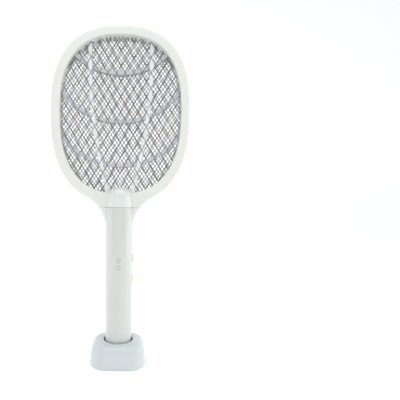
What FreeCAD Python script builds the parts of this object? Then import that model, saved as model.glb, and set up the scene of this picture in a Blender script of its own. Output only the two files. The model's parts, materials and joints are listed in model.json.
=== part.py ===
"""Electric fly swatter standing in its charging dock.

Millimetres, +Z up, the front of the swatter faces -Y, and the origin is at the
middle of the surface that the dock stands on.
"""
import FreeCAD, Part
import math
import os

from FreeCAD import Vector

os.makedirs("parts", exist_ok=True)

# ---------------------------------------------------------------- dimensions

# Racket head: an oval rim, seen from the front
head_width = 202.4
head_rise = 122.8            # widest line up to the top
head_drop = 135.5            # widest line down to the lowest point
head_squareness = 2.5        # exponent of the oval: 2 would be an ellipse
rim_side = 13.2              # width of the rim at the sides
rim_top = 13.3
rim_bottom = 15.0
rim_half_depth = 12.5        # middle plane to the front face
rim_edge_round = 4.0
shell_wall = 2.0

# Neck: the round handle runs up into the rim and ends in a dome
seam_below_head = 5.5        # joint of hoop covers and handle, below the head's oval
dome_above_seam = 12.5       # centre of the dome above that joint
flare_radius = 54.3          # concave sides between the handle and the head
flare_sink = 0.5             # the flares end this far inside the handle's side
wing_slope_above_seam = 33.0
wing_foot_above_seam = 9.0   # the wings are thin from here down
wing_low_half_depth = 7.4    # half depth of the wings where they are thin
spigot_wall = 1.6
spigot_reach = 6.0
spigot_half_width = 10.0

# Handle
handle_foot_z = 10.0         # underside of the handle above the surface
handle_length = 215.0
handle_foot_radius = 19.2
handle_top_radius = 20.3
cap_flange = 3.0
cap_plug = 9.0
slide_fit = 0.15             # gap round pieces that drop into one another

# Screens inside the rim
screen_border = 5.0          # how far the screens reach under the rim
guard_setback = 5.0          # middle plane to the guard screen's outer face
guard_thickness = 0.6
guard_cell_width = 12.6
guard_cell_height = 22.6
guard_strand = 1.0
grid_thickness = 0.5
grid_cell_width = 10.8
grid_cell_height = 15.2
grid_strand = 0.8
dome_gap = 0.3               # screens and separators stay off the dome
tab_x = 24.5                 # solder tabs of the screens
tab_width = 5.0
tab_drop = 9.0

# Separator ribs between the screens
v_rib_width = 5.0
v_rib_top_x = 45.2
v_rib_mid_x = 39.0
v_rib_mid_z = -16.0          # from the head's widest line
v_rib_foot_x = 16.8
arc_rib_width = 4.5
arc_rib_bottoms = (56.0, -15.0, -79.5)
arc_rib_lifts = (66.0, 52.0, 50.0)

# Screws
hoop_screw_turns = (90, 48, 8, -32, 132, 172, 212)
handle_screw_heights = (86.0, 195.0)    # above the handle's underside
screw_radius = 1.0
screw_head_radius = 2.0
screw_head_height = 1.5
screw_bite = 7.0
screw_gap = 0.25
boss_radius = 3.0
rear_screw_wall = 3.0        # plastic under each screw head, from the middle plane

# Cell and its cradle
cell_radius = 9.2
cell_length = 65.0
cell_foot = 14.0             # above the handle's underside
cell_y = -4.0
tab_thickness = 0.3
tab_plus_x = 5.0             # where the cell's leads leave its tabs
tab_minus_x = -12.4
tab_margin = 1.0
cradle_heights = (32.0, 62.0)
cradle_rib = 1.5

# Main board, standing upright in the handle
board_half_width = 14.0
board_foot = 91.0            # above the handle's underside
board_height = 92.0
board_y = 3.5                # its front surface
board_thickness = 1.6
post_radius = 2.0
post_x = 9.0
post_inset = 4.0

# Controls on the right-hand side, heights above the handle's underside
zap_height = 140.6
zap_length = 11.0
zap_width = 7.0
zap_stands_out = 2.0
zap_travel = 0.8
mode_height = 110.0
mode_length = 13.0
mode_width = 6.0
mode_stands_out = 1.6
mode_travel = 5.0
button_gap = 0.3
button_flange = 1.2
switch_size = 7.0
switch_depth = 5.0
plunger_radius = 1.5
lever_size = 2.0

# Indicator windows on the front
lamp_heights = (139.7, 129.2)
window_width = 4.6
window_height = 5.6
lamp_radius = 1.5
lamp_length = 5.3
guide_radius = 1.6

# Leads
lead_radius = 0.6
charge_pad_x = 6.0
charge_pad_y = 9.0
charge_pad_size = 6.0
charge_pad_thickness = 0.8
charge_pad_recess = 0.4

# Dock
dock_width = 80.0
dock_depth = 70.0
dock_height = 32.0
dock_corner_radius = 24.0
dock_draft = 3.0
dock_top_round = 11.0
dock_wall = 2.4
socket_clearance = 2.1
socket_wall = 2.0
collar_width = 6.0
collar_rise = 0.8
foot_thickness = 1.5
foot_radius = 5.0
foot_x = 24.0
foot_y = 20.0
base_thickness = 2.0
base_inset = 0.2
dock_screw_x = 30.0
dock_boss_radius = 3.2
dock_board_z = 9.0
dock_board_width = 20.0
dock_board_depth = 6.2
dock_board_gap = 0.3         # behind the board, to the rear wall
shelf_thickness = 2.2
dock_board_thickness = 1.2
inlet_width = 7.6
inlet_height = 2.7
inlet_depth = 5.6
inlet_wall = 0.35
inlet_mouth_gap = 0.25
pin_radius = 1.2
carrier_width = 18.0
carrier_depth = 6.0
carrier_height = 3.2

# ------------------------------------------------------------ derived places

seam_z = handle_foot_z + handle_length
head_z = seam_z + seam_below_head + head_drop
dome_z = seam_z + dome_above_seam
window_half_width = head_width / 2 - rim_side
window_rise = head_rise - rim_top
window_drop = head_drop - rim_bottom
guard_back = guard_setback - guard_thickness
grid_half = grid_thickness / 2
shell_foot_z = handle_foot_z + cap_flange
board_foot_z = handle_foot_z + board_foot
board_top_z = board_foot_z + board_height
board_back_y = board_y + board_thickness
cell_foot_z = handle_foot_z + cell_foot
cell_top_z = cell_foot_z + cell_length
zap_z = handle_foot_z + zap_height
mode_z = handle_foot_z + mode_height
pad_z = handle_foot_z + charge_pad_recess
socket_radius = handle_foot_radius + socket_clearance
base_z = foot_thickness
base_top_z = base_z + base_thickness
socket_floor_z = handle_foot_z - socket_wall
dock_board_rear_y = dock_depth / 2 - dock_wall - dock_draft / 2 - dock_board_gap
dock_board_front_y = dock_board_rear_y - dock_board_depth
big = 2000.0


# ---------------------------------------------------------------- basic tools

def save(node, shape):
    """Write one node's solids."""
    shape.exportStep("parts/%s.step" % node)


def box(x0, x1, y0, y1, z0, z1):
    return Part.makeBox(x1 - x0, y1 - y0, z1 - z0, Vector(x0, y0, z0))


def tube_y(radius, x, z, y0, y1):
    """Round bar along Y."""
    return Part.makeCylinder(radius, y1 - y0, Vector(x, y0, z), Vector(0, 1, 0))


def tube_z(radius, x, y, z0, z1):
    """Round bar along Z."""
    return Part.makeCylinder(radius, z1 - z0, Vector(x, y, z0), Vector(0, 0, 1))


def prism(wire, y0, y1):
    """Solid between two planes across Y, from an outline drawn at Y = 0."""
    face = Part.Face(wire)
    face.translate(Vector(0, y0, 0))
    return face.extrude(Vector(0, y1 - y0, 0))


def to_rear(shape):
    """The same shape mirrored to the other side of the middle plane."""
    return shape.mirror(Vector(0, 0, 0), Vector(0, 1, 0))


def joined(shapes):
    first = shapes[0]
    return first.fuse(shapes[1:]).removeSplitter()


def handle_radius(z):
    """The handle widens evenly from its foot to the dome."""
    share = (z - handle_foot_z) / (dome_z - handle_foot_z)
    return handle_foot_radius + (handle_top_radius - handle_foot_radius) * share


# ------------------------------------------------------------------- outlines

def oval_point(half_width, rise, drop, turn, grow):
    """Point of a superellipse at a polar angle, moved outwards along its normal."""
    power = head_squareness
    cosine, sine = math.cos(turn), math.sin(turn)
    height = rise if sine >= 0 else drop
    across, up = abs(cosine) / half_width, abs(sine) / height
    reach = (across ** power + up ** power) ** (-1 / power)
    normal = Vector(math.copysign(across ** (power - 1) / half_width, cosine), 0,
                    math.copysign(up ** (power - 1) / height, sine))
    normal.normalize()
    return Vector(reach * cosine, 0, head_z + reach * sine) + normal * grow


def head_point(turn, grow=0.0):
    return oval_point(head_width / 2, head_rise, head_drop, turn, grow)


def window_point(turn, grow=0.0):
    return oval_point(window_half_width, window_rise, window_drop, turn, grow)


def window_wire(grow, count=48):
    """Closed outline of the rim's opening, grown by a distance."""
    curve = Part.BSplineCurve()
    points = [window_point(2 * math.pi * i / count, grow) for i in range(count)]
    curve.interpolate(Points=points, PeriodicFlag=True)
    return Part.Wire(curve.toShape())


def flare_side(z):
    """Centre line of the concave flare's circle for a centre at height z."""
    return handle_radius(z) - flare_sink + flare_radius


def find_flare():
    """Height of the flare's centre, and the turn where it meets the head's oval.

    The circle ends just inside the handle's side at its own height. Its centre is
    raised until the circle just touches the oval as well.
    """
    turns = [-math.pi / 2 * i / 600 for i in range(601)]
    oval = [head_point(turn) for turn in turns]

    def nearest(z):
        centre = Vector(flare_side(z), 0, z)
        return min((point.distanceToPoint(centre), turn) for point, turn in zip(oval, turns))

    low, high = handle_foot_z, head_z
    for _ in range(40):
        middle = (low + high) / 2
        if nearest(middle)[0] > flare_radius:
            low = middle
        else:
            high = middle
    return low, nearest(low)[1]


flare_z, flare_turn = find_flare()
flare_x = flare_side(flare_z)


def head_wire(grow, count=44):
    """Outline of the head and its two flares, down to the flares' lower ends."""
    radius = flare_radius - grow
    centre = Vector(flare_x, 0, flare_z)
    turns = [flare_turn + (math.pi - 2 * flare_turn) * i / count for i in range(count + 1)]
    points = [head_point(turn, grow) for turn in turns]
    curve = Part.BSplineCurve()
    curve.interpolate(Points=points)
    meeting = points[0]
    foot = centre - Vector(radius, 0, 0)
    halfway = (meeting - centre) + (foot - centre)
    halfway.normalize()
    middle = centre + halfway * radius
    right = Part.Arc(foot, middle, meeting).toShape()
    left = Part.Arc(points[-1], Vector(-middle.x, 0, middle.z), Vector(-foot.x, 0, foot.z)).toShape()
    base = Part.LineSegment(Vector(-foot.x, 0, foot.z), foot).toShape()
    return Part.Wire([right, curve.toShape(), left, base])


# ------------------------------------------------------------- racket casings

def neck_barrel(inset, turn=-180):
    """Handle and dome as one round bar. A turn of -180 is its front half."""
    foot_radius = handle_foot_radius - inset
    top_radius = handle_top_radius - inset
    centre = Vector(0, 0, dome_z)
    diagonal = top_radius / math.sqrt(2)
    arc = Part.Arc(Vector(top_radius, 0, dome_z), centre + Vector(diagonal, 0, diagonal),
                   Vector(0, 0, dome_z + top_radius))
    corners = [Vector(0, 0, dome_z + top_radius), Vector(0, 0, handle_foot_z),
               Vector(foot_radius, 0, handle_foot_z), Vector(top_radius, 0, dome_z)]
    sides = [Part.LineSegment(a, b).toShape() for a, b in zip(corners, corners[1:])]
    profile = Part.Face(Part.Wire(sides + [arc.toShape()]))
    return profile.revolve(Vector(0, 0, 0), Vector(0, 0, 1), turn)


def wing_wedge(inset):
    """What is taken off the front so that the wings thin out towards their lower end."""
    top_z = seam_z + wing_slope_above_seam
    foot_z = seam_z + wing_foot_above_seam
    floor_z = flare_z - flare_radius
    thin = wing_low_half_depth - inset
    top = Vector(-head_width, inset - rim_half_depth, top_z)
    knee = Vector(-head_width, -thin, foot_z)
    low = Vector(-head_width, -thin, floor_z)
    outside = Vector(-head_width, -3 * rim_half_depth, floor_z)
    above = Vector(-head_width, -3 * rim_half_depth, top_z)
    face = Part.Face(Part.makePolygon([top, knee, low, outside, above, top]))
    return face.extrude(Vector(2 * head_width, 0, 0))


def head_plate(inset, rounding):
    """Front half of the head as a solid plate with a rounded outer edge."""
    depth = rim_half_depth - inset
    plate = prism(head_wire(-inset), -depth, 0)
    front = [edge for edge in plate.Edges
             if abs(edge.BoundBox.YMin + depth) < 0.01 and edge.BoundBox.YLength < 0.01
             and edge.BoundBox.ZLength > 1]
    plate = plate.makeFillet(rounding, front)
    return plate.cut(wing_wedge(inset))


def racket_half():
    """Front casing of the whole racket: hollow rim, wings, dome and handle."""
    barrel = neck_barrel(0)
    outer = head_plate(0, rim_edge_round).fuse(barrel)
    rim_hollow = head_plate(shell_wall, rim_edge_round - shell_wall)
    rim_hollow = rim_hollow.cut(prism(window_wire(shell_wall), -rim_half_depth, 0))
    hollow = rim_hollow.fuse(neck_barrel(shell_wall))
    opening = prism(window_wire(0), -rim_half_depth - 1, 0).cut(barrel)
    pocket = prism(window_wire(screen_border), -guard_setback, 0).cut(barrel)
    return outer.cut([hollow, opening, pocket])


def hoop_screw_places():
    """Screws in the middle of the rim's hollow."""
    places = []
    for degrees in hoop_screw_turns:
        turn = math.radians(degrees)
        inner = window_point(turn, screen_border)
        outer = head_point(turn, -shell_wall)
        places.append((inner + outer) * 0.5)
    return places


def handle_screw_places():
    return [Vector(0, 0, handle_foot_z + height) for height in handle_screw_heights]


def screw_bosses(places, outer, pocket):
    """Round bosses from the casing's face to the middle plane."""
    bosses = [tube_y(boss_radius, place.x, place.z, -handle_top_radius, 0) for place in places]
    return [boss.common(outer).cut(pocket) for boss in bosses]


def pilot_holes(places):
    return [tube_y(screw_radius, place.x, place.z, -screw_bite, 0) for place in places]


def rear_screw_holes(places):
    """Stepped holes: a clearance hole, and a wider one for the head."""
    holes = []
    for place in places:
        shank = tube_y(screw_radius + screw_gap, place.x, place.z, -1, big)
        head = tube_y(screw_head_radius + screw_gap, place.x, place.z, rear_screw_wall, big)
        holes += [shank, head]
    return holes


def screws(places):
    """Pan head screws that go in from the rear."""
    solids = []
    for place in places:
        shank = tube_y(screw_radius, place.x, place.z, -screw_bite, rear_screw_wall)
        head = tube_y(screw_head_radius, place.x, place.z, rear_screw_wall,
                      rear_screw_wall + screw_head_height)
        slot = box(place.x - screw_head_radius, place.x + screw_head_radius,
                   rear_screw_wall + screw_head_height / 2, rear_screw_wall + 2 * screw_head_height,
                   place.z - 0.25, place.z + 0.25)
        solids.append(shank.fuse(head).cut(slot).removeSplitter())
    return Part.makeCompound(solids)


def hoop_covers(half):
    above = box(-big, big, -big, big, seam_z, big)
    cover = half.common(above)
    outer = head_plate(0, rim_edge_round)
    pocket = prism(window_wire(screen_border), -guard_setback, 0)
    places = hoop_screw_places()
    cover = joined([cover] + screw_bosses(places, outer, pocket))
    save("hoop_front_cover", cover.cut(pilot_holes(places)))
    save("hoop_rear_cover", to_rear(cover).cut(rear_screw_holes(places)))
    save("hoop_screws", screws(places))


def seam_spigot():
    """Tongue on the handle that the hoop cover's neck slides over."""
    outer = tube_z(handle_radius(seam_z) - shell_wall - slide_fit, 0, 0,
                   seam_z - spigot_reach, seam_z + spigot_reach)
    inner = tube_z(handle_radius(seam_z) - shell_wall - slide_fit - spigot_wall, 0, 0,
                   seam_z - spigot_reach, seam_z + spigot_reach)
    front = box(-spigot_half_width, spigot_half_width, -big, 0, -big, big)
    tongue = outer.cut(inner).common(front)
    root = tube_z(handle_radius(seam_z), 0, 0, seam_z - spigot_reach, seam_z - slide_fit)
    root = root.cut(inner).common(front).common(neck_barrel(0))
    return tongue.fuse(root)


def cradle_ribs():
    """Ribs that hold the cell, notched at the rear for the leads."""
    ribs = []
    for height in cradle_heights:
        z = handle_foot_z + height
        rib = tube_z(handle_radius(z) - shell_wall / 2, 0, 0, z, z + cradle_rib)
        rib = rib.cut(tube_z(cell_radius + slide_fit, 0, cell_y, z - 1, z + 5))
        notch = box(-board_half_width, board_half_width, charge_pad_y - 3 * lead_radius,
                    charge_pad_y + 3 * lead_radius, z - 1, z + 5)
        ribs.append(rib.cut(notch))
    return ribs


def board_posts(y0, y1):
    """Posts that hold the main board between the two casings."""
    heights = (board_foot_z + post_inset, board_top_z - post_inset)
    return [tube_y(post_radius, x, z, y0, y1) for x in (-post_x, post_x) for z in heights]


def control_openings():
    """Openings on the right-hand side for the button and the knob."""
    zap = rounded_block(zap_length + 2 * button_gap, zap_width + 2 * button_gap,
                        0, handle_top_radius + 5, zap_z)
    slot_length = mode_length + mode_travel + 2 * button_gap
    mode = rounded_block(slot_length, mode_width + 2 * button_gap,
                         handle_foot_radius - shell_wall / 2, handle_top_radius + 5,
                         mode_z + mode_travel / 2)
    lever_slot = box(0, handle_top_radius + 5, -lever_size, lever_size,
                     mode_z - lever_size, mode_z + mode_travel + lever_size)
    return [zap, mode, lever_slot]


def rounded_block(length, width, x0, x1, z):
    """Block along X with round ends, seen from the side."""
    radius = width / 2
    reach = length / 2 - radius
    middle = box(x0, x1, -radius, radius, z - reach, z + reach)
    ends = [Part.makeCylinder(radius, x1 - x0, Vector(x0, 0, z + side * reach), Vector(1, 0, 0))
            for side in (-1, 1)]
    return middle.fuse(ends).removeSplitter()


def lamp_openings(gap):
    """Openings for the indicator windows, or the windows themselves with no gap."""
    blocks = []
    for height in lamp_heights:
        z = handle_foot_z + height
        half_x, half_z = window_width / 2 + gap, window_height / 2 + gap
        block = box(-half_x, half_x, -handle_top_radius - 1, -handle_foot_radius + 2.5 * shell_wall,
                    z - half_z, z + half_z)
        upright = [edge for edge in block.Edges if edge.BoundBox.YLength > 1]
        blocks.append(block.makeFillet(window_width / 4, upright))
    return blocks


def handle_shells(half):
    between = box(-big, big, -big, big, shell_foot_z, seam_z)
    shell = half.common(between)
    barrel = neck_barrel(0)
    places = handle_screw_places()
    bosses = screw_bosses(places, barrel, box(0, 1, big, big + 1, 0, 1))
    shell = joined([shell, seam_spigot()] + bosses)
    ribs = joined(cradle_ribs())
    front_half = box(-big, big, -big, 0, 0, big)
    rear_half = box(-big, big, 0, big, 0, big)
    front_posts = [post.common(barrel) for post in board_posts(-handle_top_radius, board_y)]
    rear_posts = [post.common(to_rear(barrel)) for post in board_posts(board_back_y, handle_top_radius)]

    front = joined([shell, ribs.common(front_half)] + front_posts_above(front_posts))
    front = front.cut(pilot_holes(places) + control_openings() + lamp_openings(slide_fit))
    save("handle_front_shell", front)
    rear = joined([to_rear(shell), ribs.common(rear_half)] + rear_posts)
    rear = rear.cut(rear_screw_holes(places) + control_openings())
    save("handle_rear_shell", rear)
    save("handle_screws", screws(places))


def front_posts_above(posts):
    """The front posts reach past the middle plane to the board's front surface."""
    tips = [tube_y(post_radius, post.BoundBox.Center.x, post.BoundBox.Center.z, -1, board_y)
            for post in posts]
    return [post.fuse(tip) for post, tip in zip(posts, tips)]


def end_cap():
    """Cap that closes the handle's foot and holds the charge pads."""
    flange = tube_z(handle_foot_radius, 0, 0, handle_foot_z, shell_foot_z)
    flange = flange.makeFillet(1.0, [edge for edge in flange.Edges
                                     if edge.BoundBox.ZMax < handle_foot_z + 0.01])
    plug = tube_z(handle_foot_radius - shell_wall - slide_fit, 0, 0,
                  shell_foot_z, shell_foot_z + cap_plug)
    hollow = tube_z(handle_foot_radius - 2 * shell_wall - slide_fit, 0, 0,
                    shell_foot_z + shell_wall, shell_foot_z + cap_plug)
    cap = flange.fuse(plug).cut(hollow)
    for x in (-charge_pad_x, charge_pad_x):
        half = charge_pad_size / 2
        cap = cap.cut(box(x - half, x + half, charge_pad_y - half, charge_pad_y + half,
                          handle_foot_z, pad_z + charge_pad_thickness))
        cap = cap.cut(tube_z(lead_radius + slide_fit, x, charge_pad_y, handle_foot_z, big))
    save("handle_end_cap", cap.removeSplitter())
    half = charge_pad_size / 2
    pads = [box(x - half, x + half, charge_pad_y - half, charge_pad_y + half,
                pad_z, pad_z + charge_pad_thickness) for x in (-charge_pad_x, charge_pad_x)]
    save("charge_pads", Part.makeCompound(pads))


# -------------------------------------------------------------------- screens

def clip(polygon, point, normal):
    """Keep the part of a polygon on the side of a line that its normal leaves."""
    kept = []
    for a, b in zip(polygon, polygon[1:] + polygon[:1]):
        side_a, side_b = (a - point).dot(normal), (b - point).dot(normal)
        if side_a <= 0:
            kept.append(a)
        if side_a * side_b < 0:
            kept.append(a + (b - a) * (side_a / (side_a - side_b)))
    return kept


def polygon_area(polygon):
    doubled = sum(a.x * b.z - b.x * a.z for a, b in zip(polygon, polygon[1:] + polygon[:1]))
    return abs(doubled) / 2


def diamond_holes(cell_width, cell_height, strand):
    """Diamond openings of a stretched metal sheet, kept inside the rim's opening.

    The diamonds lie in rows, each row half a cell along from the last. A diamond
    that crosses the edge is cut along the edge, and one at the dome along the dome.
    """
    edge = [window_point(2 * math.pi * i / 90, screen_border / 3) for i in range(90)]
    lean = math.hypot(cell_width, cell_height)
    half_x = cell_width / 2 - strand / 2 * lean / cell_height
    half_z = cell_height / 2 - strand / 2 * lean / cell_width
    dome = Vector(0, 0, dome_z)
    dome_edge = handle_top_radius + 2 * strand
    columns = int(window_half_width / cell_width) + 2
    rows = int((window_rise + window_drop) / cell_height) + 2
    smallest = 0.15 * half_x * half_z
    holes = []
    for row in range(-rows, rows + 1):
        for column in range(-columns, columns + 1):
            x = (column + 0.5 * (row % 2)) * cell_width
            centre = Vector(x, 0, head_z + row * cell_height / 2)
            hole = [centre + Vector(half_x, 0, 0), centre + Vector(0, 0, half_z),
                    centre - Vector(half_x, 0, 0), centre - Vector(0, 0, half_z)]
            for a, b in zip(edge, edge[1:] + edge[:1]):
                along = b - a
                if len(hole) > 2:
                    hole = clip(hole, a, Vector(along.z, 0, -along.x).normalize())
            away = centre - dome
            if len(hole) > 2 and away.Length < dome_edge + half_z:
                away.normalize()
                hole = clip(hole, dome + away * dome_edge, away * -1)
            if len(hole) > 2 and polygon_area(hole) > smallest:
                holes.append(hole)
    return holes


def tab_foot_z():
    """Lower end of the solder tabs, below the rim's opening."""
    turn = -math.pi / 2 + math.atan2(tab_x, window_drop)
    return window_point(turn).z - screen_border / 2 - tab_drop


def sheet_outline(tab_side):
    """Outline of a screen: it reaches under the rim, clears the dome and has one tab."""
    sheet = prism(window_wire(screen_border - slide_fit), 0, 1)
    clear = handle_top_radius + dome_gap
    neck = box(-clear, clear, -1, 2, seam_z - big, dome_z)
    sheet = sheet.cut([tube_y(clear, 0, dome_z, -1, 2), neck])
    x = tab_side * tab_x
    tab = box(x - tab_width / 2, x + tab_width / 2, 0, 1, tab_foot_z(), tab_foot_z() + tab_drop)
    sheet = sheet.fuse(tab).removeSplitter()
    front = [face for face in sheet.Faces if face.BoundBox.YMax < 0.01]
    return max(front, key=lambda face: face.Area).OuterWire


def pierced_sheet(cell_width, cell_height, strand, y0, y1, tab_side):
    """Thin sheet under the rim with diamond openings and one solder tab."""
    wires = [sheet_outline(tab_side)]
    for hole in diamond_holes(cell_width, cell_height, strand):
        corners = [hole[0]]
        for point in hole[1:]:
            if point.distanceToPoint(corners[-1]) > 0.05:
                corners.append(point)
        if corners[0].distanceToPoint(corners[-1]) < 0.05:
            corners.pop()
        wires.append(Part.makePolygon(corners + corners[:1]))
    face = Part.Face(wires)
    face.translate(Vector(0, y0, 0))
    return face.extrude(Vector(0, y1 - y0, 0))


def arc_strip(first, middle, last, width, y0, y1):
    """Strip of even width along the arc through three points."""
    circle = Part.Arc(first, middle, last).toShape().Curve
    centre, radius = circle.Center, circle.Radius
    sides = []
    for shift in (-width / 2, width / 2):
        sides.append([centre + (p - centre) * ((radius + shift) / radius)
                      for p in (first, middle, last)])
    inner, outer = sides
    edges = [Part.Arc(*inner).toShape(), Part.LineSegment(inner[2], outer[2]).toShape(),
             Part.Arc(*outer[::-1]).toShape(), Part.LineSegment(outer[0], inner[0]).toShape()]
    return prism(Part.Wire(edges), y0, y1)


def window_height_at(x, upper):
    """Height of the rim's opening at a distance from its middle line."""
    reach = window_rise if upper else -window_drop
    share = 1 - (abs(x) / window_half_width) ** head_squareness
    return head_z + reach * share ** (1 / head_squareness)


def separator(y0, y1):
    """Insulating frame: a ring under the rim, two long ribs and three cross arcs."""
    ring = prism(window_wire(screen_border - slide_fit), y0, y1)
    ring = ring.cut(prism(window_wire(0), y0 - 1, y1 + 1))
    reach = screen_border / 2
    strips = []
    for side in (-1, 1):
        top = Vector(side * v_rib_top_x, 0, window_height_at(v_rib_top_x, True) + reach)
        middle = Vector(side * v_rib_mid_x, 0, head_z + v_rib_mid_z)
        foot = Vector(side * v_rib_foot_x, 0, window_height_at(v_rib_foot_x, False) - reach)
        strips.append(arc_strip(top, middle, foot, v_rib_width, y0, y1))
    for bottom, lift in zip(arc_rib_bottoms, arc_rib_lifts):
        z = head_z + bottom
        end_x = window_half_width + reach
        strips.append(arc_strip(Vector(-end_x, 0, z + lift), Vector(0, 0, z),
                                Vector(end_x, 0, z + lift), arc_rib_width, y0, y1))
    inside = prism(window_wire(reach), y0, y1)
    frame = joined([ring] + [strip.common(inside) for strip in strips])
    return frame.cut(neck_barrel(-dome_gap, 360)).removeSplitter()


def screens():
    """Guard, separator, live grid, separator, guard, in touching layers."""
    guard = (guard_cell_width, guard_cell_height, guard_strand)
    grid = (grid_cell_width, grid_cell_height, grid_strand)
    save("front_guard_mesh", pierced_sheet(*guard, -guard_setback, -guard_back, -1))
    save("rear_guard_mesh", pierced_sheet(*guard, guard_back, guard_setback, -1))
    save("high_voltage_grid", pierced_sheet(*grid, -grid_half, grid_half, 1))
    save("front_separator", separator(-guard_back, -grid_half))
    save("rear_separator", separator(grid_half, guard_back))


# ---------------------------------------------------------------- electronics

def on_board(x, z, width, height, depth):
    """Block on the board's front surface."""
    return box(x - width / 2, x + width / 2, board_y - depth, board_y, z - height / 2, z + height / 2)


def main_board():
    board = box(-board_half_width, board_half_width, board_y, board_back_y, board_foot_z, board_top_z)
    save("main_board", board)


def power_parts():
    """Step up transformer, capacitors, diodes and bleed resistor at the board's top."""
    core = on_board(-4, board_top_z - 17, 16, 14, 12)
    winding = on_board(-4, board_top_z - 17, 10, 18, 10)
    save("step_up_transformer", core.fuse(winding).removeSplitter())
    places = [(-8.5, board_top_z - 36), (-8.5, board_top_z - 46)]
    cans = [tube_y(4.2, x, z, board_y - 11, board_y) for x, z in places]
    save("high_voltage_capacitors", Part.makeCompound(cans))
    diodes = [Part.makeCylinder(1.3, 5, Vector(x, board_y - 1.3, board_foot_z + 34), Vector(0, 0, 1))
              for x in (-12, -8.5, -5)]
    save("rectifier_diodes", Part.makeCompound(diodes))
    resistor = Part.makeCylinder(1.2, 7, Vector(6, board_y - 1.2, board_top_z - 30), Vector(0, 0, 1))
    save("bleed_resistor", resistor)


def lamps():
    """Lamps on the board and the windows in the front that carry their light out."""
    bodies, windows = [], []
    barrel = neck_barrel(0)
    lamp_tip = board_y - lamp_length
    for height, block in zip(lamp_heights, lamp_openings(0)):
        z = handle_foot_z + height
        bodies.append(tube_y(lamp_radius, 0, z, lamp_tip, board_y))
        guide = tube_y(guide_radius, 0, z, -handle_foot_radius + shell_wall, lamp_tip)
        windows.append(block.common(barrel).fuse(guide).removeSplitter())
    save("indicator_lamps", Part.makeCompound(bodies))
    save("indicator_windows", Part.makeCompound(windows))


def zap_button():
    """Push button, its plunger and the switch that they work."""
    face_x = handle_radius(zap_z) + zap_stands_out
    inner_x = handle_foot_radius - shell_wall - button_flange - zap_travel
    cap = rounded_block(zap_length, zap_width, inner_x, face_x, zap_z)
    rim = [edge for edge in cap.Edges if edge.BoundBox.XMin > face_x - 0.01]
    cap = cap.makeFillet(1.0, rim)
    flange_x = inner_x + button_flange
    flange = rounded_block(zap_length + 3, zap_width + 3, inner_x, flange_x, zap_z)
    save("zap_button", cap.fuse(flange).removeSplitter())

    body_x = board_half_width - 1
    body = box(body_x - switch_depth, body_x, board_y - switch_size, board_y,
               zap_z - switch_size / 2, zap_z + switch_size / 2)
    centre = Vector(body_x - switch_depth + 1, 0, zap_z)
    bore = Part.makeCylinder(plunger_radius + slide_fit, switch_depth, centre, Vector(1, 0, 0))
    save("button_switch", body.cut(bore))
    rest_x = centre.x + zap_travel + 0.2
    plunger = Part.makeCylinder(plunger_radius, inner_x - rest_x, Vector(rest_x, 0, zap_z),
                                Vector(1, 0, 0))
    save("switch_plunger", plunger)


def mode_switch():
    """Sliding knob, its lever and the switch body, at the lower end of the travel."""
    bed_x = handle_foot_radius - shell_wall / 2 + slide_fit
    face_x = handle_radius(mode_z) + mode_stands_out
    knob = rounded_block(mode_length, mode_width, bed_x, face_x, mode_z)
    rim = [edge for edge in knob.Edges if edge.BoundBox.XMin > face_x - 0.01]
    knob = knob.makeFillet(0.8, rim)
    grooves = [box(face_x - 0.5, face_x + 1, -mode_width, mode_width, z - 0.4, z + 0.4)
               for z in (mode_z - 2, mode_z, mode_z + 2)]
    save("mode_switch_knob", knob.cut(grooves))

    body_x = board_half_width - 1
    half = lever_size / 2
    lever = box(body_x - 1.5, bed_x, -half, half, mode_z - half, mode_z + half)
    save("mode_switch_lever", lever)
    low_z = mode_z - lever_size - 2
    high_z = mode_z + mode_travel + lever_size + 2
    body = box(body_x - switch_depth, body_x, board_y - switch_size, board_y, low_z, high_z)
    slot = box(body_x - 2, body_x, -half - 0.2, half + 0.2, mode_z - half - 0.2,
               mode_z + mode_travel + half + 0.2)
    save("mode_switch_body", body.cut(slot))


def cell():
    """Rechargeable cell with a welded tab at each end."""
    body = tube_z(cell_radius, 0, cell_y, cell_foot_z, cell_top_z)
    save("battery_cell", body)
    foot = tube_z(cell_radius * 0.6, 0, cell_y, cell_foot_z - tab_thickness, cell_foot_z)
    low_z, outer_x = cell_foot_z - tab_thickness, tab_minus_x - tab_margin
    tail = box(outer_x, tab_minus_x + tab_margin, cell_y - 1.5, charge_pad_y + tab_margin,
               low_z, cell_foot_z)
    link = box(outer_x, 0, cell_y - 1.5, cell_y + 1.5, low_z, cell_foot_z)
    top = box(-2, tab_plus_x + tab_margin, cell_y - 1.5, cell_y + 1.5,
              cell_top_z, cell_top_z + tab_thickness)
    save("battery_tabs", Part.makeCompound([foot.fuse([tail, link]).removeSplitter(), top]))


def lead(points):
    """Round lead: straight runs joined by arcs as large as the runs allow."""
    edges = []
    start = points[0]
    for before, corner, after in zip(points, points[1:], points[2:]):
        back, onward = (before - corner), (after - corner)
        shorter = min(back.Length, onward.Length)
        back.normalize()
        onward.normalize()
        turn = math.pi - back.getAngle(onward)
        reach = 0.45 * shorter
        radius = reach / math.tan(turn / 2)
        into, out = corner + back * reach, corner + onward * reach
        inward = back + onward
        inward.normalize()
        centre = corner + inward * math.hypot(radius, reach)
        middle = centre - inward * radius
        edges += [Part.LineSegment(start, into).toShape(), Part.Arc(into, middle, out).toShape()]
        start = out
    edges.append(Part.LineSegment(start, points[-1]).toShape())
    path = Part.Wire(edges)
    section = Part.Wire(Part.makeCircle(lead_radius, points[0], points[1] - points[0]))
    return path.makePipeShell([section], True, False)


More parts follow.
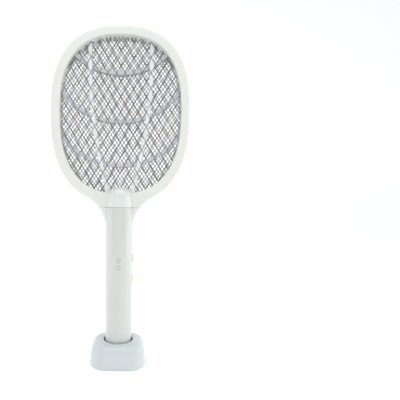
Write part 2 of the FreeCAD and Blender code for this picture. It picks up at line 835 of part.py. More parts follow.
def leads():
    """Leads between the cell, the pads, the board and the screens."""
    low = board_foot_z
    tab_z = tab_foot_z() + tab_drop / 2 - 1.5
    plus_x, minus_x = tab_plus_x, tab_minus_x
    plus = lead([Vector(plus_x, cell_y, cell_top_z + tab_thickness), Vector(plus_x, cell_y, low),
                 Vector(plus_x, board_y - 4, low + 9), Vector(plus_x, board_y, low + 9)])
    minus = lead([Vector(minus_x, charge_pad_y, cell_foot_z), Vector(minus_x, charge_pad_y, low + 12),
                  Vector(minus_x, board_back_y, low + 12)])
    save("battery_leads", Part.makeCompound([plus, minus]))
    charge = []
    for x in (-charge_pad_x, charge_pad_x):
        charge.append(lead([Vector(x, charge_pad_y, pad_z + charge_pad_thickness),
                            Vector(x, charge_pad_y, low + 12), Vector(x, board_back_y, low + 12)]))
    save("charge_leads", Part.makeCompound(charge))
    high = board_top_z
    deep = -4.5
    grid_x = post_x + post_radius + 2
    save("grid_lead", lead([Vector(grid_x, board_y, high - 12), Vector(grid_x, deep, high - 12),
                            Vector(grid_x, deep, seam_z - 4), Vector(tab_x, deep, tab_z),
                            Vector(tab_x, -grid_half, tab_z)]))
    outer = -guard_back
    save("guard_lead", lead([Vector(12, board_y, high - 24), Vector(12, deep, high - 24),
                             Vector(12, deep - 3, high + 4), Vector(-8, deep - 3, seam_z - 2),
                             Vector(-tab_x, outer + 3.5, tab_z + 3), Vector(-tab_x, outer, tab_z + 3)]))
    jumper = tube_y(lead_radius, -tab_x, tab_z - 1, -guard_back, guard_back)
    save("guard_jumper", jumper)


# ----------------------------------------------------------------------- dock

def dock_outline(inset, z, lean):
    """Rounded rectangle at a height, leaning in by a distance."""
    half_x = dock_width / 2 - inset - lean
    half_y = dock_depth / 2 - inset - lean
    radius = dock_corner_radius - inset - lean
    block = Part.makeBox(2 * half_x, 2 * half_y, 1, Vector(-half_x, -half_y, z))
    corners = [edge for edge in block.Edges if edge.BoundBox.ZLength > 0.5]
    block = block.makeFillet(radius, corners)
    lowest = [face for face in block.Faces if face.BoundBox.ZMax < z + 0.01]
    return lowest[0].OuterWire


def dock_body(inset, z0, z1, rounding):
    """Leaning block with a generously rounded top edge."""
    full = dock_height - base_z

    def lean_at(z):
        return dock_draft * (z - base_z) / full

    block = Part.makeLoft([dock_outline(inset, z0, lean_at(z0)), dock_outline(inset, z1, lean_at(z1))],
                          True, True)
    top = [edge for edge in block.Edges if edge.BoundBox.ZMin > z1 - 0.01]
    return block.makeFillet(rounding, top)


def dock_screw_places():
    return [(-dock_screw_x, 0), (dock_screw_x, 0)]


def dock_shell():
    outer = dock_body(0, base_z, dock_height - collar_rise, dock_top_round)
    inner = dock_body(dock_wall, base_z, dock_height - collar_rise - dock_wall,
                      dock_top_round - dock_wall)
    collar_radius = socket_radius + collar_width
    collar = tube_z(collar_radius, 0, 0, dock_height - 3 * collar_rise, dock_height)
    collar = collar.makeFillet(collar_rise * 0.9, [edge for edge in collar.Edges
                                                   if edge.BoundBox.ZMin > dock_height - 0.01])
    socket = tube_z(socket_radius + socket_wall, 0, 0, socket_floor_z, dock_height - collar_rise)
    bosses = [tube_z(dock_boss_radius, x, y, base_top_z, dock_height - dock_wall)
              for x, y in dock_screw_places()]
    bosses = [boss.common(outer) for boss in bosses]
    rails = []
    for side in (-1, 1):
        near, far = sorted((side * (charge_pad_x + 2 * lead_radius), side * dock_board_width / 2))
        rails.append(box(near, far, socket_radius, dock_depth / 2 - dock_wall / 2,
                         dock_board_z - shelf_thickness, dock_board_z).common(outer))
    shell = joined([outer.cut(inner), collar, socket] + rails + bosses)
    hole = tube_z(socket_radius, 0, 0, handle_foot_z, dock_height + 1)
    shell = shell.cut(hole)
    rim = [edge for edge in shell.Edges if edge.BoundBox.ZMin > dock_height - 0.01
           and edge.BoundBox.XLength < 2 * socket_radius + 0.1]
    shell = shell.makeFillet(collar_rise, rim)
    pins = [tube_z(pin_radius + slide_fit, x, charge_pad_y, 0, pad_z)
            for x in (-charge_pad_x, charge_pad_x)]
    inlet = box(-inlet_width / 2 - inlet_mouth_gap, inlet_width / 2 + inlet_mouth_gap,
                dock_board_rear_y, dock_depth,
                dock_board_z + dock_board_thickness - inlet_mouth_gap,
                dock_board_z + dock_board_thickness + inlet_height + inlet_mouth_gap)
    screw_holes = [tube_z(screw_radius, x, y, base_top_z, base_top_z + screw_bite)
                   for x, y in dock_screw_places()]
    save("dock_shell", shell.cut(pins + [inlet] + screw_holes))


def dock_base():
    plate_wire = dock_outline(dock_wall + base_inset, base_z, 0)
    plate = Part.Face(plate_wire).extrude(Vector(0, 0, base_thickness))
    for x, y in dock_screw_places():
        plate = plate.cut(tube_z(screw_radius + screw_gap, x, y, 0, base_top_z))
        plate = plate.cut(tube_z(screw_head_radius + screw_gap, x, y, 0, base_z + 1))
    save("dock_base_plate", plate)
    feet = [tube_z(foot_radius, side_x * foot_x, side_y * foot_y, 0, base_z)
            for side_x in (-1, 1) for side_y in (-1, 1)]
    save("dock_feet", Part.makeCompound(feet))
    solids = []
    for x, y in dock_screw_places():
        head = tube_z(screw_head_radius, x, y, base_z + 1 - screw_head_height / 2, base_z + 1)
        shank = tube_z(screw_radius, x, y, base_z + 1, base_z + 1 + screw_bite)
        solids.append(head.fuse(shank).removeSplitter())
    save("dock_screws", Part.makeCompound(solids))


def dock_electrics():
    """Board, inlet and the two contact pins that reach up through the socket's floor."""
    z = dock_board_z
    half = dock_board_width / 2
    board = box(-half, half, dock_board_front_y, dock_board_rear_y, z, z + dock_board_thickness)
    save("dock_board", board)
    top = z + dock_board_thickness
    mouth_y = dock_depth / 2 - dock_draft / 2
    back_y = mouth_y - inlet_depth
    case = box(-inlet_width / 2, inlet_width / 2, back_y, mouth_y, top, top + inlet_height)
    hollow = box(-inlet_width / 2 + inlet_wall, inlet_width / 2 - inlet_wall, back_y + inlet_wall,
                 mouth_y, top + inlet_wall, top + inlet_height - inlet_wall)
    save("dock_inlet_shell", case.cut(hollow))
    tongue = box(-inlet_width / 3, inlet_width / 3, back_y + inlet_wall, mouth_y - 1,
                 top + inlet_height / 2 - 0.3, top + inlet_height / 2 + 0.3)
    save("dock_inlet_tongue", tongue)
    carrier_top = socket_floor_z
    carrier = box(-carrier_width / 2, carrier_width / 2, charge_pad_y - carrier_depth / 2,
                  charge_pad_y + carrier_depth / 2, carrier_top - carrier_height, carrier_top)
    pins = [tube_z(pin_radius, x, charge_pad_y, carrier_top - carrier_height, pad_z)
            for x in (-charge_pad_x, charge_pad_x)]
    save("contact_carrier", carrier.cut(pins))
    save("contact_pins", Part.makeCompound(pins))
    start_y = charge_pad_y + carrier_depth / 2
    lead_z = carrier_top - carrier_height / 2
    solids = []
    for x in (-charge_pad_x, charge_pad_x):
        end_y = dock_board_front_y + 2
        solids.append(lead([Vector(x, start_y, lead_z), Vector(x, end_y, lead_z), Vector(x, end_y, z)]))
    save("dock_leads", Part.makeCompound(solids))


# ------------------------------------------------------------------ the model

half = racket_half()
hoop_covers(half)
handle_shells(half)
end_cap()
screens()
main_board()
power_parts()
lamps()
zap_button()
mode_switch()
cell()
leads()
dock_shell()
dock_base()
dock_electrics()
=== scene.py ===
"""Electric fly swatter in its charging dock: the visible shells, screens and finishes.

Lengths are in metres. The swatter's front faces -Y and it stands on Z = 0.
"""
import json
import math

import bmesh
import bpy
import numpy as np
from bpy.props import FloatProperty, FloatVectorProperty, IntProperty, PointerProperty
from mathutils import Matrix, Vector


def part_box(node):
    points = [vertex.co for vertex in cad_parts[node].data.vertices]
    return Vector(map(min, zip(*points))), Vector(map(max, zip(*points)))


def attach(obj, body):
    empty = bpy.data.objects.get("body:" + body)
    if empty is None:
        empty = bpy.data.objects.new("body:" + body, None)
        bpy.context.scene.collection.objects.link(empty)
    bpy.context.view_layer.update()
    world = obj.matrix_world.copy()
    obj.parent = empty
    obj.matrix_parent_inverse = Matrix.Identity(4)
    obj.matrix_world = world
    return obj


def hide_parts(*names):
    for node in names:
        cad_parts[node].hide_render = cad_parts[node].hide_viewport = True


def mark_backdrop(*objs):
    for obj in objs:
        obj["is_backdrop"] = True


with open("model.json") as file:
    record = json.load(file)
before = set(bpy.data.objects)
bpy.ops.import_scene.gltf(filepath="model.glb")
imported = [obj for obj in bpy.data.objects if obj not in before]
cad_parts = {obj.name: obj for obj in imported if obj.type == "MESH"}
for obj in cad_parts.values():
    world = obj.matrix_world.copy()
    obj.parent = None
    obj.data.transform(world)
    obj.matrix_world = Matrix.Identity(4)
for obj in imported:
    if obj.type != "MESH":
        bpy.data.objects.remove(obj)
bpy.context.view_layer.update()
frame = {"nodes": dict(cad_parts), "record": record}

bl_info = {
    "name": "Electric fly swatter",
    "version": (1, 0, 0),
    "blender": (4, 5, 0),
    "location": "View3D > Sidebar > Swatter",
    "description": "Builds the visible shells, screens and finishes of a fly swatter and its dock",
    "category": "Object",
}

MM = 0.001
NODES = frame["nodes"]


# ---- places from the frame

def low_high(node, axis):
    """Lowest and highest value of a CAD node along one axis."""
    low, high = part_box(node)
    return low[axis], high[axis]


class Place:
    """Main places of the swatter, read from the CAD pieces' boxes."""
    head_half_width = low_high("hoop_front_cover", 0)[1]
    seam = low_high("hoop_front_cover", 2)[0]
    handle_foot = low_high("handle_end_cap", 2)[0]
    shell_foot = low_high("handle_front_shell", 2)[0]
    dome_radius = low_high("hoop_rear_cover", 1)[1]
    foot_radius = 19.2 * MM
    guard_front = low_high("front_guard_mesh", 1)[0]
    dock_half_width = low_high("dock_shell", 0)[1]
    dock_half_depth = low_high("dock_shell", 1)[1]
    dock_low, dock_top = low_high("dock_shell", 2)
    zap_z = sum(low_high("zap_button", 2)) / 2
    knob_z = sum(low_high("mode_switch_knob", 2)) / 2


HEAD_DROP = 135.5 * MM
HEAD_RISE = 122.8 * MM
HEAD_Z = Place.seam + 5.5 * MM + HEAD_DROP
SQUARENESS = 2.5
RIM_SIDE, RIM_TOP, RIM_BOTTOM = 13.2 * MM, 13.3 * MM, 15.0 * MM
RIM_DEPTH = 12.5 * MM
WINDOW_HALF = Place.head_half_width - RIM_SIDE
WINDOW_RISE, WINDOW_DROP = HEAD_RISE - RIM_TOP, HEAD_DROP - RIM_BOTTOM
WALL = 2.0 * MM
FLARE_RADIUS, FLARE_SINK = 54.3 * MM, 0.5 * MM
DOME_Z = Place.seam + 12.5 * MM
DOME_RISE = 18.3 * MM
DOME_FULLNESS = 2.15
WING_TOP = Place.seam + 33.0 * MM
WING_FOOT = Place.seam + 9.0 * MM
WING_LOW_DEPTH = 7.4 * MM
WING_ROOT = 13 * MM                            # inner side, hidden in the handle
SEAM_GAP = 0.2 * MM
RIB_NEAR, RIB_FAR = 0.25 * MM, 4.4 * MM        # front and rear of a rib, from the middle plane
SOCKET_RADIUS, COLLAR_RADIUS = 21.3 * MM, 27.3 * MM
COLLAR_RISE = 0.8 * MM
DOCK_LEAN, DOCK_WALL = 3.0 * MM, 2.4 * MM
DOCK_CORNER = 24 * MM
ZAP_HALF, FLANGE_HALF = (3.5 * MM, 5.5 * MM), (5 * MM, 7 * MM)     # half depth, half height
KNOB_HALF, KNOB_TRAVEL, KNOB_BED = (3 * MM, 6.5 * MM), 5 * MM, 18.3 * MM
BEYOND = 30 * MM                               # past every surface that a cutter goes through
SCREW_HOLE, SCREW_FLOOR, SCREW_HEAD = 2.25 * MM, 3.0 * MM, 2.0 * MM
LONG_RIB = ((45.2 * MM, 2 * MM), (39.0 * MM, -16.0 * MM), (16.8 * MM, -2 * MM))
CROSS_ARCS = ((56.0, 66.0), (-15.0, 52.0), (-79.5, 50.0))     # height of the lowest point, rise
PARTING_GAP = 0.1 * MM


# ---- properties

def length_property(name, description, default):
    """A length in metres for the panel."""
    return FloatProperty(name=name, description=description, default=default, unit="LENGTH")


def colour_property(name, description, default):
    """A linear colour for the panel."""
    return FloatVectorProperty(name=name, description=description, default=default,
                               subtype="COLOR")


class SwatterSizes(bpy.types.PropertyGroup):
    """Sizes of the visible pieces that can be changed without touching the CAD model."""
    rim_round: length_property("Rim rounding", "Radius of the rim's outer edge", 4.0 * MM)
    inner_round: length_property("Opening rounding", "Radius of the opening's edge", 0.9 * MM)
    guard_width: length_property("Guard diamond width", "Diamond width, guards", 12.6 * MM)
    guard_height: length_property("Guard diamond height", "Diamond height, guards", 22.6 * MM)
    guard_strand: length_property("Guard strand", "Width of a guard strand", 0.75 * MM)
    grid_width: length_property("Grid diamond width", "Diamond width, live grid", 5.4 * MM)
    grid_height: length_property("Grid diamond height", "Diamond height, live grid", 7.6 * MM)
    grid_strand: length_property("Grid strand", "Width of a live grid strand", 1.05 * MM)
    dock_top_round: length_property("Dock rounding", "Rounding of the dock's top edge", 11.0 * MM)
    round_steps: IntProperty(name="Rounding steps", description="Faces across a rounded edge",
                             default=8, min=3, max=24)


class SwatterColours(bpy.types.PropertyGroup):
    """Base colours, as linear values."""
    rim: colour_property("Rim", "Matt rim plastic", (0.73, 0.745, 0.70))
    handle: colour_property("Handle", "Glossy handle plastic", (0.585, 0.615, 0.59))
    dock: colour_property("Dock", "Dock plastic", (0.565, 0.615, 0.625))
    rib: colour_property("Long ribs", "White separator ribs", (0.78, 0.79, 0.79))
    # Painted shade: the cross arcs are the white separator plastic darkened to grey-blue, standing for
    # the shade of the mesh layers around them
    arc_painted_shade: colour_property("Cross arcs", "Grey separator arcs", (0.53, 0.55, 0.585))
    guard: colour_property("Guard", "Plated steel screen", (0.24, 0.24, 0.245))
    grid: colour_property("Grid", "Aluminium screen", (0.27, 0.27, 0.275))
    zap: colour_property("Button", "Pinkish white button", (0.86, 0.72, 0.69))
    knob: colour_property("Knob", "Cream sliding knob", (0.87, 0.80, 0.58))


def sizes():
    """The sizes that the panel shows."""
    return bpy.context.scene.swatter_sizes


def colours():
    """The colours that the panel shows."""
    return bpy.context.scene.swatter_colours


# ---- mesh building

class Mesh:
    """Collects grids of points into one mesh. Each grid is rows x columns x 3."""

    def __init__(self):
        self.points, self.faces, self.count = [], [], 0

    def grid(self, points, closed_rows=False, closed_columns=False, caps=False):
        """Joins neighbouring points with quads. Rows or columns may close on themselves.

        Caps close the first and the last row of a grid whose columns are closed.
        """
        rows, columns = points.shape[:2]
        numbers = np.arange(rows * columns).reshape(rows, columns) + self.count
        down = np.concatenate([numbers, numbers[:1]]) if closed_rows else numbers
        full = np.concatenate([down, down[:, :1]], axis=1) if closed_columns else down
        quads = np.stack([full[:-1, :-1], full[:-1, 1:], full[1:, 1:], full[1:, :-1]], axis=-1)
        self.faces += quads.reshape(-1, 4).tolist()
        if caps:
            self.faces += [numbers[0, ::-1].tolist(), numbers[-1].tolist()]
        self.points.append(points.reshape(-1, 3))
        self.count += rows * columns
        return self

    def bar(self, points):
        """Adds a solid of closed outlines, one to a row, with a cap at each end."""
        return self.grid(points, closed_columns=True, caps=True)

    def make(self, name, merge=1e-7, angle=32):
        """Makes the object: doubles merged, faces turned outwards, smooth but for sharp corners."""
        mesh = bpy.data.meshes.new(name)
        mesh.from_pydata(np.concatenate(self.points).tolist(), [], self.faces)
        shape = bmesh.new()
        shape.from_mesh(mesh)
        bmesh.ops.remove_doubles(shape, verts=shape.verts, dist=merge)
        bmesh.ops.dissolve_degenerate(shape, dist=merge, edges=shape.edges)
        bmesh.ops.recalc_face_normals(shape, faces=shape.faces)
        shape.to_mesh(mesh)
        shape.free()
        piece = bpy.data.objects.new(name, mesh)
        bpy.context.scene.collection.objects.link(piece)
        smooth(piece, angle)
        return piece


def smooth(piece, angle=32):
    """Shades a piece smooth, apart from edges sharper than an angle in degrees."""
    mesh = piece.data
    mesh.polygons.foreach_set("use_smooth", np.ones(len(mesh.polygons), bool))
    mesh.set_sharp_from_angle(angle=math.radians(angle))


def cut(piece, cutters):
    """Cuts solids out of a piece, one after another, and removes them."""
    for cutter in cutters:
        hole = piece.modifiers.new("cut", "BOOLEAN")
        hole.operation, hole.solver, hole.object = "DIFFERENCE", "EXACT", cutter
        graph = bpy.context.evaluated_depsgraph_get()
        mesh = bpy.data.meshes.new_from_object(piece.evaluated_get(graph))
        piece.modifiers.clear()
        piece.data = mesh
        bpy.data.objects.remove(cutter)
    smooth(piece)
    return piece


def join(name, pieces):
    """Makes one piece of several."""
    shape = bmesh.new()
    for piece in pieces:
        shape.from_mesh(piece.data)
        bpy.data.objects.remove(piece)
    mesh = bpy.data.meshes.new(name)
    shape.to_mesh(mesh)
    shape.free()
    whole = bpy.data.objects.new(name, mesh)
    bpy.context.scene.collection.objects.link(whole)
    smooth(whole)
    return whole


def stack(x, y, z):
    """Three arrays, or numbers, as one array of points."""
    return np.stack(np.broadcast_arrays(x, y, z), axis=-1).astype(float)


def settle(piece, body, slot, finish, *nodes):
    """Gives a finished piece its body, its finish and the CAD nodes that it stands for."""
    piece.data.materials.clear()
    piece.data.materials.append(finish)
    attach(piece, body)
    if nodes:
        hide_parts(*nodes)
    return piece


def turned(profile, start, stop, steps, centre=(0.0, 0.0)):
    """A profile of (radius, height) pairs turned about an upright axis.

    x = radius * cos(turn) and y = radius * sin(turn), with one row for each turn.
    """
    turn = np.linspace(start, stop, steps)[:, None]
    radius, height = np.array(profile).T
    return stack(centre[0] + radius * np.cos(turn), centre[1] + radius * np.sin(turn), height)


def quarter(centre, radius, start, steps):
    """Points of a quarter circle, turning anticlockwise from a start angle in degrees."""
    turn = np.radians(np.linspace(start, start + 90, steps + 1))
    return [(centre[0] + radius * c, centre[1] + radius * s) for c, s in zip(np.cos(turn), np.sin(turn))]


# ---- outlines

def oval(half_width, rise, drop, turn, grow=0.0):
    """Points of the head's oval at polar angles, each moved out along its normal.

    The oval is |x / half_width| ^ n + |z / height| ^ n = 1, where the height is the
    rise above the widest line and the drop below it.
    """
    turn = np.asarray(turn, float)
    height = np.where(np.sin(turn) >= 0, rise, drop)
    across, up = np.abs(np.cos(turn)) / half_width, np.abs(np.sin(turn)) / height
    reach = (across ** SQUARENESS + up ** SQUARENESS) ** (-1 / SQUARENESS)
    normal_x = np.sign(np.cos(turn)) * across ** (SQUARENESS - 1) / half_width
    normal_z = np.sign(np.sin(turn)) * up ** (SQUARENESS - 1) / height
    length = np.hypot(normal_x, normal_z)
    x = reach * np.cos(turn) + grow * normal_x / length
    z = HEAD_Z + reach * np.sin(turn) + grow * normal_z / length
    return np.stack([x, z], axis=-1)


def head_oval(turn, grow=0.0):
    """Outer outline of the head."""
    return oval(Place.head_half_width, HEAD_RISE, HEAD_DROP, turn, grow)


def window_oval(turn, grow=0.0):
    """Outline of the opening."""
    return oval(WINDOW_HALF, WINDOW_RISE, WINDOW_DROP, turn, grow)


def window_level(x, z, margin):
    """Below 1 inside the opening and a margin, and above 1 beyond them."""
    height = np.where(z > HEAD_Z, WINDOW_RISE, WINDOW_DROP) + margin
    across, up = np.abs(x) / (WINDOW_HALF + margin), np.abs(z - HEAD_Z) / height
    return across ** SQUARENESS + up ** SQUARENESS


def handle_radius(z):
    """The handle widens evenly from its foot up to the dome."""
    share = (z - Place.handle_foot) / (DOME_Z - Place.handle_foot)
    return Place.foot_radius + (Place.dome_radius - Place.foot_radius) * share


def flare_circle():
    """Centre of the concave flare's circle and the turn where it meets the head's oval.

    The centre is raised, by halving, until the nearest point of the oval is one
    flare radius away.
    """
    turns = np.linspace(-math.pi / 2, 0, 2001)
    points = head_oval(turns)
    low, high = Place.handle_foot, HEAD_Z
    for _ in range(40):
        z = (low + high) / 2
        x = handle_radius(z) - FLARE_SINK + FLARE_RADIUS
        far = np.hypot(points[:, 0] - x, points[:, 1] - z)
        if far.min() > FLARE_RADIUS:
            low = z
        else:
            high = z
    return np.array([x, z]), turns[far.argmin()]


FLARE_CENTRE, FLARE_TURN = flare_circle()
WING_TIP = FLARE_CENTRE[1] + 1.0 * MM


def flare_points(z_low, z_high, count):
    """Right-hand flare from one height up to another, evenly in angle."""
    def angle(z):
        return math.pi - math.asin(min(1.0, (z - FLARE_CENTRE[1]) / FLARE_RADIUS))
    turn = np.linspace(angle(z_low), angle(z_high), count)
    return FLARE_CENTRE + FLARE_RADIUS * np.stack([np.cos(turn), np.sin(turn)], axis=-1)


def face_depth(z):
    """Half depth of the rim's face: full above, thinning evenly to a constant depth below.

    Depth = thin + (full - thin) * s, where s rises from 0 to 1 over the slope and its
    two corners are rounded by mixing in the smooth step 3 s^2 - 2 s^3.
    """
    share = np.clip((z - WING_FOOT) / (WING_TOP - WING_FOOT), 0, 1)
    eased = 0.5 * share + 0.5 * share * share * (3 - 2 * share)
    return WING_LOW_DEPTH + (RIM_DEPTH - WING_LOW_DEPTH) * eased


# ---- shader maths

class Socket:
    """An output socket that takes part in ordinary arithmetic."""

    def __init__(self, shader, link):
        self.shader, self.link = shader, link

    def _math(self, operation, first, second):
        return self.shader.node("ShaderNodeMath", {"operation": operation}, {0: first, 1: second})

    def __add__(self, other): return self._math("ADD", self, other)
    def __radd__(self, other): return self._math("ADD", other, self)
    def __sub__(self, other): return self._math("SUBTRACT", self, other)
    def __rsub__(self, other): return self._math("SUBTRACT", other, self)
    def __mul__(self, other): return self._math("MULTIPLY", self, other)
    def __rmul__(self, other): return self._math("MULTIPLY", other, self)

    def above(self, edge, softness):
        """0 below an edge and 1 above it, with a soft step between."""
        return self.shader.node("ShaderNodeMapRange", {"interpolation_type": "SMOOTHSTEP"},
                                {"Value": self, "From Min": edge - softness,
                                 "From Max": edge + softness})

    def part(self, axis):
        """One of a vector's three numbers."""
        return self.shader.node("ShaderNodeSeparateXYZ", {}, {0: self}, output=axis)


class Shader:
    """One material. Its node method makes any node from settings and socket values."""

    def __init__(self, name):
        self.material = bpy.data.materials.new(name)
        self.material.use_nodes = True
        self.tree = self.material.node_tree
        self.surface = self.tree.nodes["Principled BSDF"]
        self.place = self.node("ShaderNodeTexCoord", {}, {}, output="Object")

    def node(self, kind, settings, values, output=0):
        """Makes a node, feeds its inputs and gives back one of its outputs."""
        made = self.tree.nodes.new(kind)
        for name, value in settings.items():
            setattr(made, name, value)
        for name, value in values.items():
            self.feed(made.inputs[name], value)
        return Socket(self, made.outputs[output])

    def feed(self, socket, value):
        """Links an output to an input, or sets the input to a plain value."""
        if isinstance(value, Socket):
            self.tree.links.new(value.link, socket)
        else:
            socket.default_value = value

    def noise(self, size, detail=2.0, stretch=None):
        """Noise from 0 to 1 whose patches are about one size across, in metres."""
        place = self.place
        if stretch:
            place = self.node("ShaderNodeMapping", {}, {"Vector": place, "Scale": stretch})
        return self.node("ShaderNodeTexNoise", {}, {"Vector": place, "Scale": 1 / size,
                                                    "Detail": detail})

    def cells(self, size, output="Distance"):
        """Scattered cells of a size in metres: distance to the middle, or a colour each."""
        return self.node("ShaderNodeTexVoronoi", {}, {"Vector": self.place, "Scale": 1 / size},
                         output)

    def blend(self, share, first, second):
        """Mixes two colours."""
        return self.node("ShaderNodeMix", {"data_type": "RGBA"},
                         {0: share, 6: first, 7: second}, output=2)

    def finish(self, colour, roughness, bump, strength, distance, **constants):
        """Feeds the surface and gives back the material."""
        normal = self.node("ShaderNodeBump", {}, {"Height": bump, "Strength": strength,
                                                  "Distance": distance}, output="Normal")
        values = {"Base_Color": colour, "Roughness": roughness, "Normal": normal, **constants}
        for name, value in values.items():
            self.feed(self.surface.inputs[name.replace("_", " ")], value)
        return self.material


def tint(colour, factor):
    """A colour made lighter or darker, with full cover."""
    return tuple(channel * factor for channel in colour[:3]) + (1.0,)


def moulded(name, colour, rough, grain, grain_strength, speck_share, **constants):
    """Moulded plastic: faint shade clouds, a fine grain, a few scuffs and pin-head specks."""
    shader = Shader(name)
    clouds = shader.noise(60 * MM, 3.0)
    fine = shader.noise(grain, 2.0)
    scuffs = shader.noise(9 * MM, 5.0, stretch=(1.0, 1.0, 0.35)).above(0.66, 0.03)
    middles = 1 - shader.cells(11 * MM).above(0.045, 0.012)
    speck = middles * shader.cells(11 * MM, "Color").part(0).above(1 - speck_share, 0.01)
    base = shader.blend(clouds, tint(colour, 0.975), tint(colour, 1.02))
    base = shader.blend(scuffs * 0.10, base, tint(colour, 0.86))
    base = shader.blend(speck * 0.55, base, (0.30, 0.29, 0.25, 1.0))
    roughness = rough + fine * 0.05 + scuffs * 0.12
    return shader.finish(base, roughness, fine, grain_strength, 0.05 * MM, **constants)


def metal(name, colour, rough, dull, **constants):
    """Cut and rolled sheet metal: fine streaks and dull patches."""
    shader = Shader(name)
    streaks = shader.noise(1.2 * MM, 3.0, stretch=(1.0, 1.0, 6.0))
    patches = shader.noise(14 * MM, 3.0)
    base = shader.blend(patches, tint(colour, dull), tint(colour, 1.12))
    return shader.finish(base, rough + streaks * 0.18, streaks, 0.15, 0.02 * MM,
                         Metallic=1.0, **constants)


def coated(name, colour, rough, size=4 * MM, **constants):
    """Small inner piece: slight mottling and an uneven gloss."""
    shader = Shader(name)
    mottle = shader.noise(size, 3.0)
    base = shader.blend(mottle, tint(colour, 0.85), tint(colour, 1.12))
    return shader.finish(base, rough + mottle * 0.12, mottle, 0.12, 0.05 * MM, **constants)


def circuit_board(name):
    """Green solder mask over wandering copper tracks, with tinned pads."""
    shader = Shader(name)
    bend = shader.noise(6 * MM, 1.0)
    x, z = shader.place.part(0), shader.place.part(2)
    lines = shader.node("ShaderNodeMath", {"operation": "PINGPONG"},
                        {0: (x + bend * (4 * MM)) * 700 + z * 120, 1: 1.0})
    tracks = lines.above(0.62, 0.06)
    pads = 1 - shader.cells(3.2 * MM).above(0.22, 0.02)
    base = shader.blend(tracks, (0.012, 0.10, 0.035, 1), (0.03, 0.19, 0.07, 1))
    base = shader.blend(pads, base, (0.55, 0.53, 0.48, 1))
    return shader.finish(base, 0.35 - pads * 0.1, tracks + pads, 0.4, 0.05 * MM, Coat_Weight=0.3)


# ---- the rim

def section(outer, inner, rounding, inner_round, steps):
    """Closed cross-sections of the hollow rim, one row for each pair of outline points.

    A section runs from the parting line round the outer edge, along the face, over
    the opening's edge and back inside the wall. Sideways places are measured from
    the outer outline or from the inner one, and depths from the face.
    """
    across = inner - outer
    across /= np.linalg.norm(across, axis=1)[:, None]
    turn = np.linspace(0, math.pi / 2, steps + 1)
    rows = []

    def add(base, sideways, depth_of):
        point = (outer + across * sideways) if base == "outer" else (inner - across * sideways)
        depth = face_depth(point[:, 1])
        rows.append(stack(point[:, 0], -np.maximum(depth_of(depth), PARTING_GAP), point[:, 1]))

    def edge(depth):
        return np.minimum(rounding, 0.8 * depth)

    add("outer", 0.3 * MM, lambda depth: depth * 0 + PARTING_GAP)
    add("outer", 0.0, lambda depth: depth * 0 + PARTING_GAP + 0.3 * MM)
    for angle in turn:
        add("outer", rounding * (1 - math.cos(angle)),
            lambda depth, s=math.sin(angle): depth - edge(depth) * (1 - s))
    for angle in turn:
        add("inner", inner_round * (1 - math.sin(angle)),
            lambda depth, c=math.cos(angle): depth - inner_round * (1 - c))
    recess = -Place.guard_front
    for sideways in (0.0, WALL):
        add("inner", sideways, lambda depth: np.minimum(recess, depth - inner_round - 0.1 * MM))
    add("inner", WALL, lambda depth: depth - WALL)
    add("outer", WALL + rounding * 0.3, lambda depth: depth - WALL)
    add("outer", WALL, lambda depth: depth - rounding)
    add("outer", WALL, lambda depth: depth * 0 + PARTING_GAP)
    return np.stack(rows, axis=1)


def rim_outlines(count=220, flare_count=40):
    """Matching outer and inner outlines of the rim, from the seam round to the seam.

    The inner outline follows the opening, and near the neck it goes down inside the
    round handle, which hides its end.
    """
    seam = Place.seam + SEAM_GAP
    tangent = head_oval(FLARE_TURN)
    meeting_turn = -math.pi / 2 + math.atan2(WING_ROOT, WINDOW_DROP)
    flare = flare_points(seam, tangent[1], flare_count)[:-1]
    along = np.linspace(FLARE_TURN, meeting_turn, flare_count)
    curve = window_oval(along)
    down = np.linspace(curve[-1], [curve[-1][0], seam], 12)[1:]
    inner = np.concatenate([curve, down])
    travelled = np.concatenate([[0], np.cumsum(np.linalg.norm(np.diff(inner, axis=0), axis=1))])
    where = np.linspace(travelled[-1], 0, flare_count)[:-1]
    inner_flare = np.stack([np.interp(where, travelled, inner[:, k]) for k in (0, 1)], axis=1)
    turns = np.linspace(FLARE_TURN, math.pi / 2, count)
    outer = np.concatenate([flare, head_oval(turns)])
    inner = np.concatenate([inner_flare, window_oval(turns)])
    mirror = np.array([-1.0, 1.0])
    return [np.concatenate([half, (half * mirror)[-2::-1]]) for half in (outer, inner)]


def screw_places():
    """Middles of the hoop screws, found from the separate screws in their CAD node."""
    shape = bmesh.new()
    shape.from_mesh(NODES["hoop_screws"].data)
    points = np.array([vertex.co for vertex in shape.verts])
    shape.free()
    places = []
    for point in points[:, [0, 2]]:
        if not any(np.hypot(*(point - place)) < 8 * MM for place in places):
            places.append(point)
    groups = [points[np.hypot(points[:, 0] - x, points[:, 2] - z) < 8 * MM] for x, z in places]
    return [(group.min(axis=0) + group.max(axis=0))[[0, 2]] / 2 for group in groups]


def rod_y(x, z, radius, y0, y1, name="cutter"):
    """Round bar along Y."""
    turn = np.linspace(0, 2 * math.pi, 33)[:-1]
    rows = [stack(x + radius * np.cos(turn), y, z + radius * np.sin(turn)) for y in (y0, y1)]
    return Mesh().bar(np.stack(rows)).make(name)


def dome_profile(inset, steps):
    """Side of the dome as (radius, height) pairs, from its foot to its top.

    (radius / widest) ^ n + (rise / tallest) ^ n = 1, with full shoulders as n is over 2.
    """
    turn = np.linspace(0, math.pi / 2, steps)
    power = 2 / DOME_FULLNESS
    radius = (Place.dome_radius - inset) * np.cos(turn) ** power
    rise = (DOME_RISE - inset) * np.sin(turn) ** power
    return list(zip(np.where(turn < math.pi / 2, radius, 0.0), DOME_Z + rise))


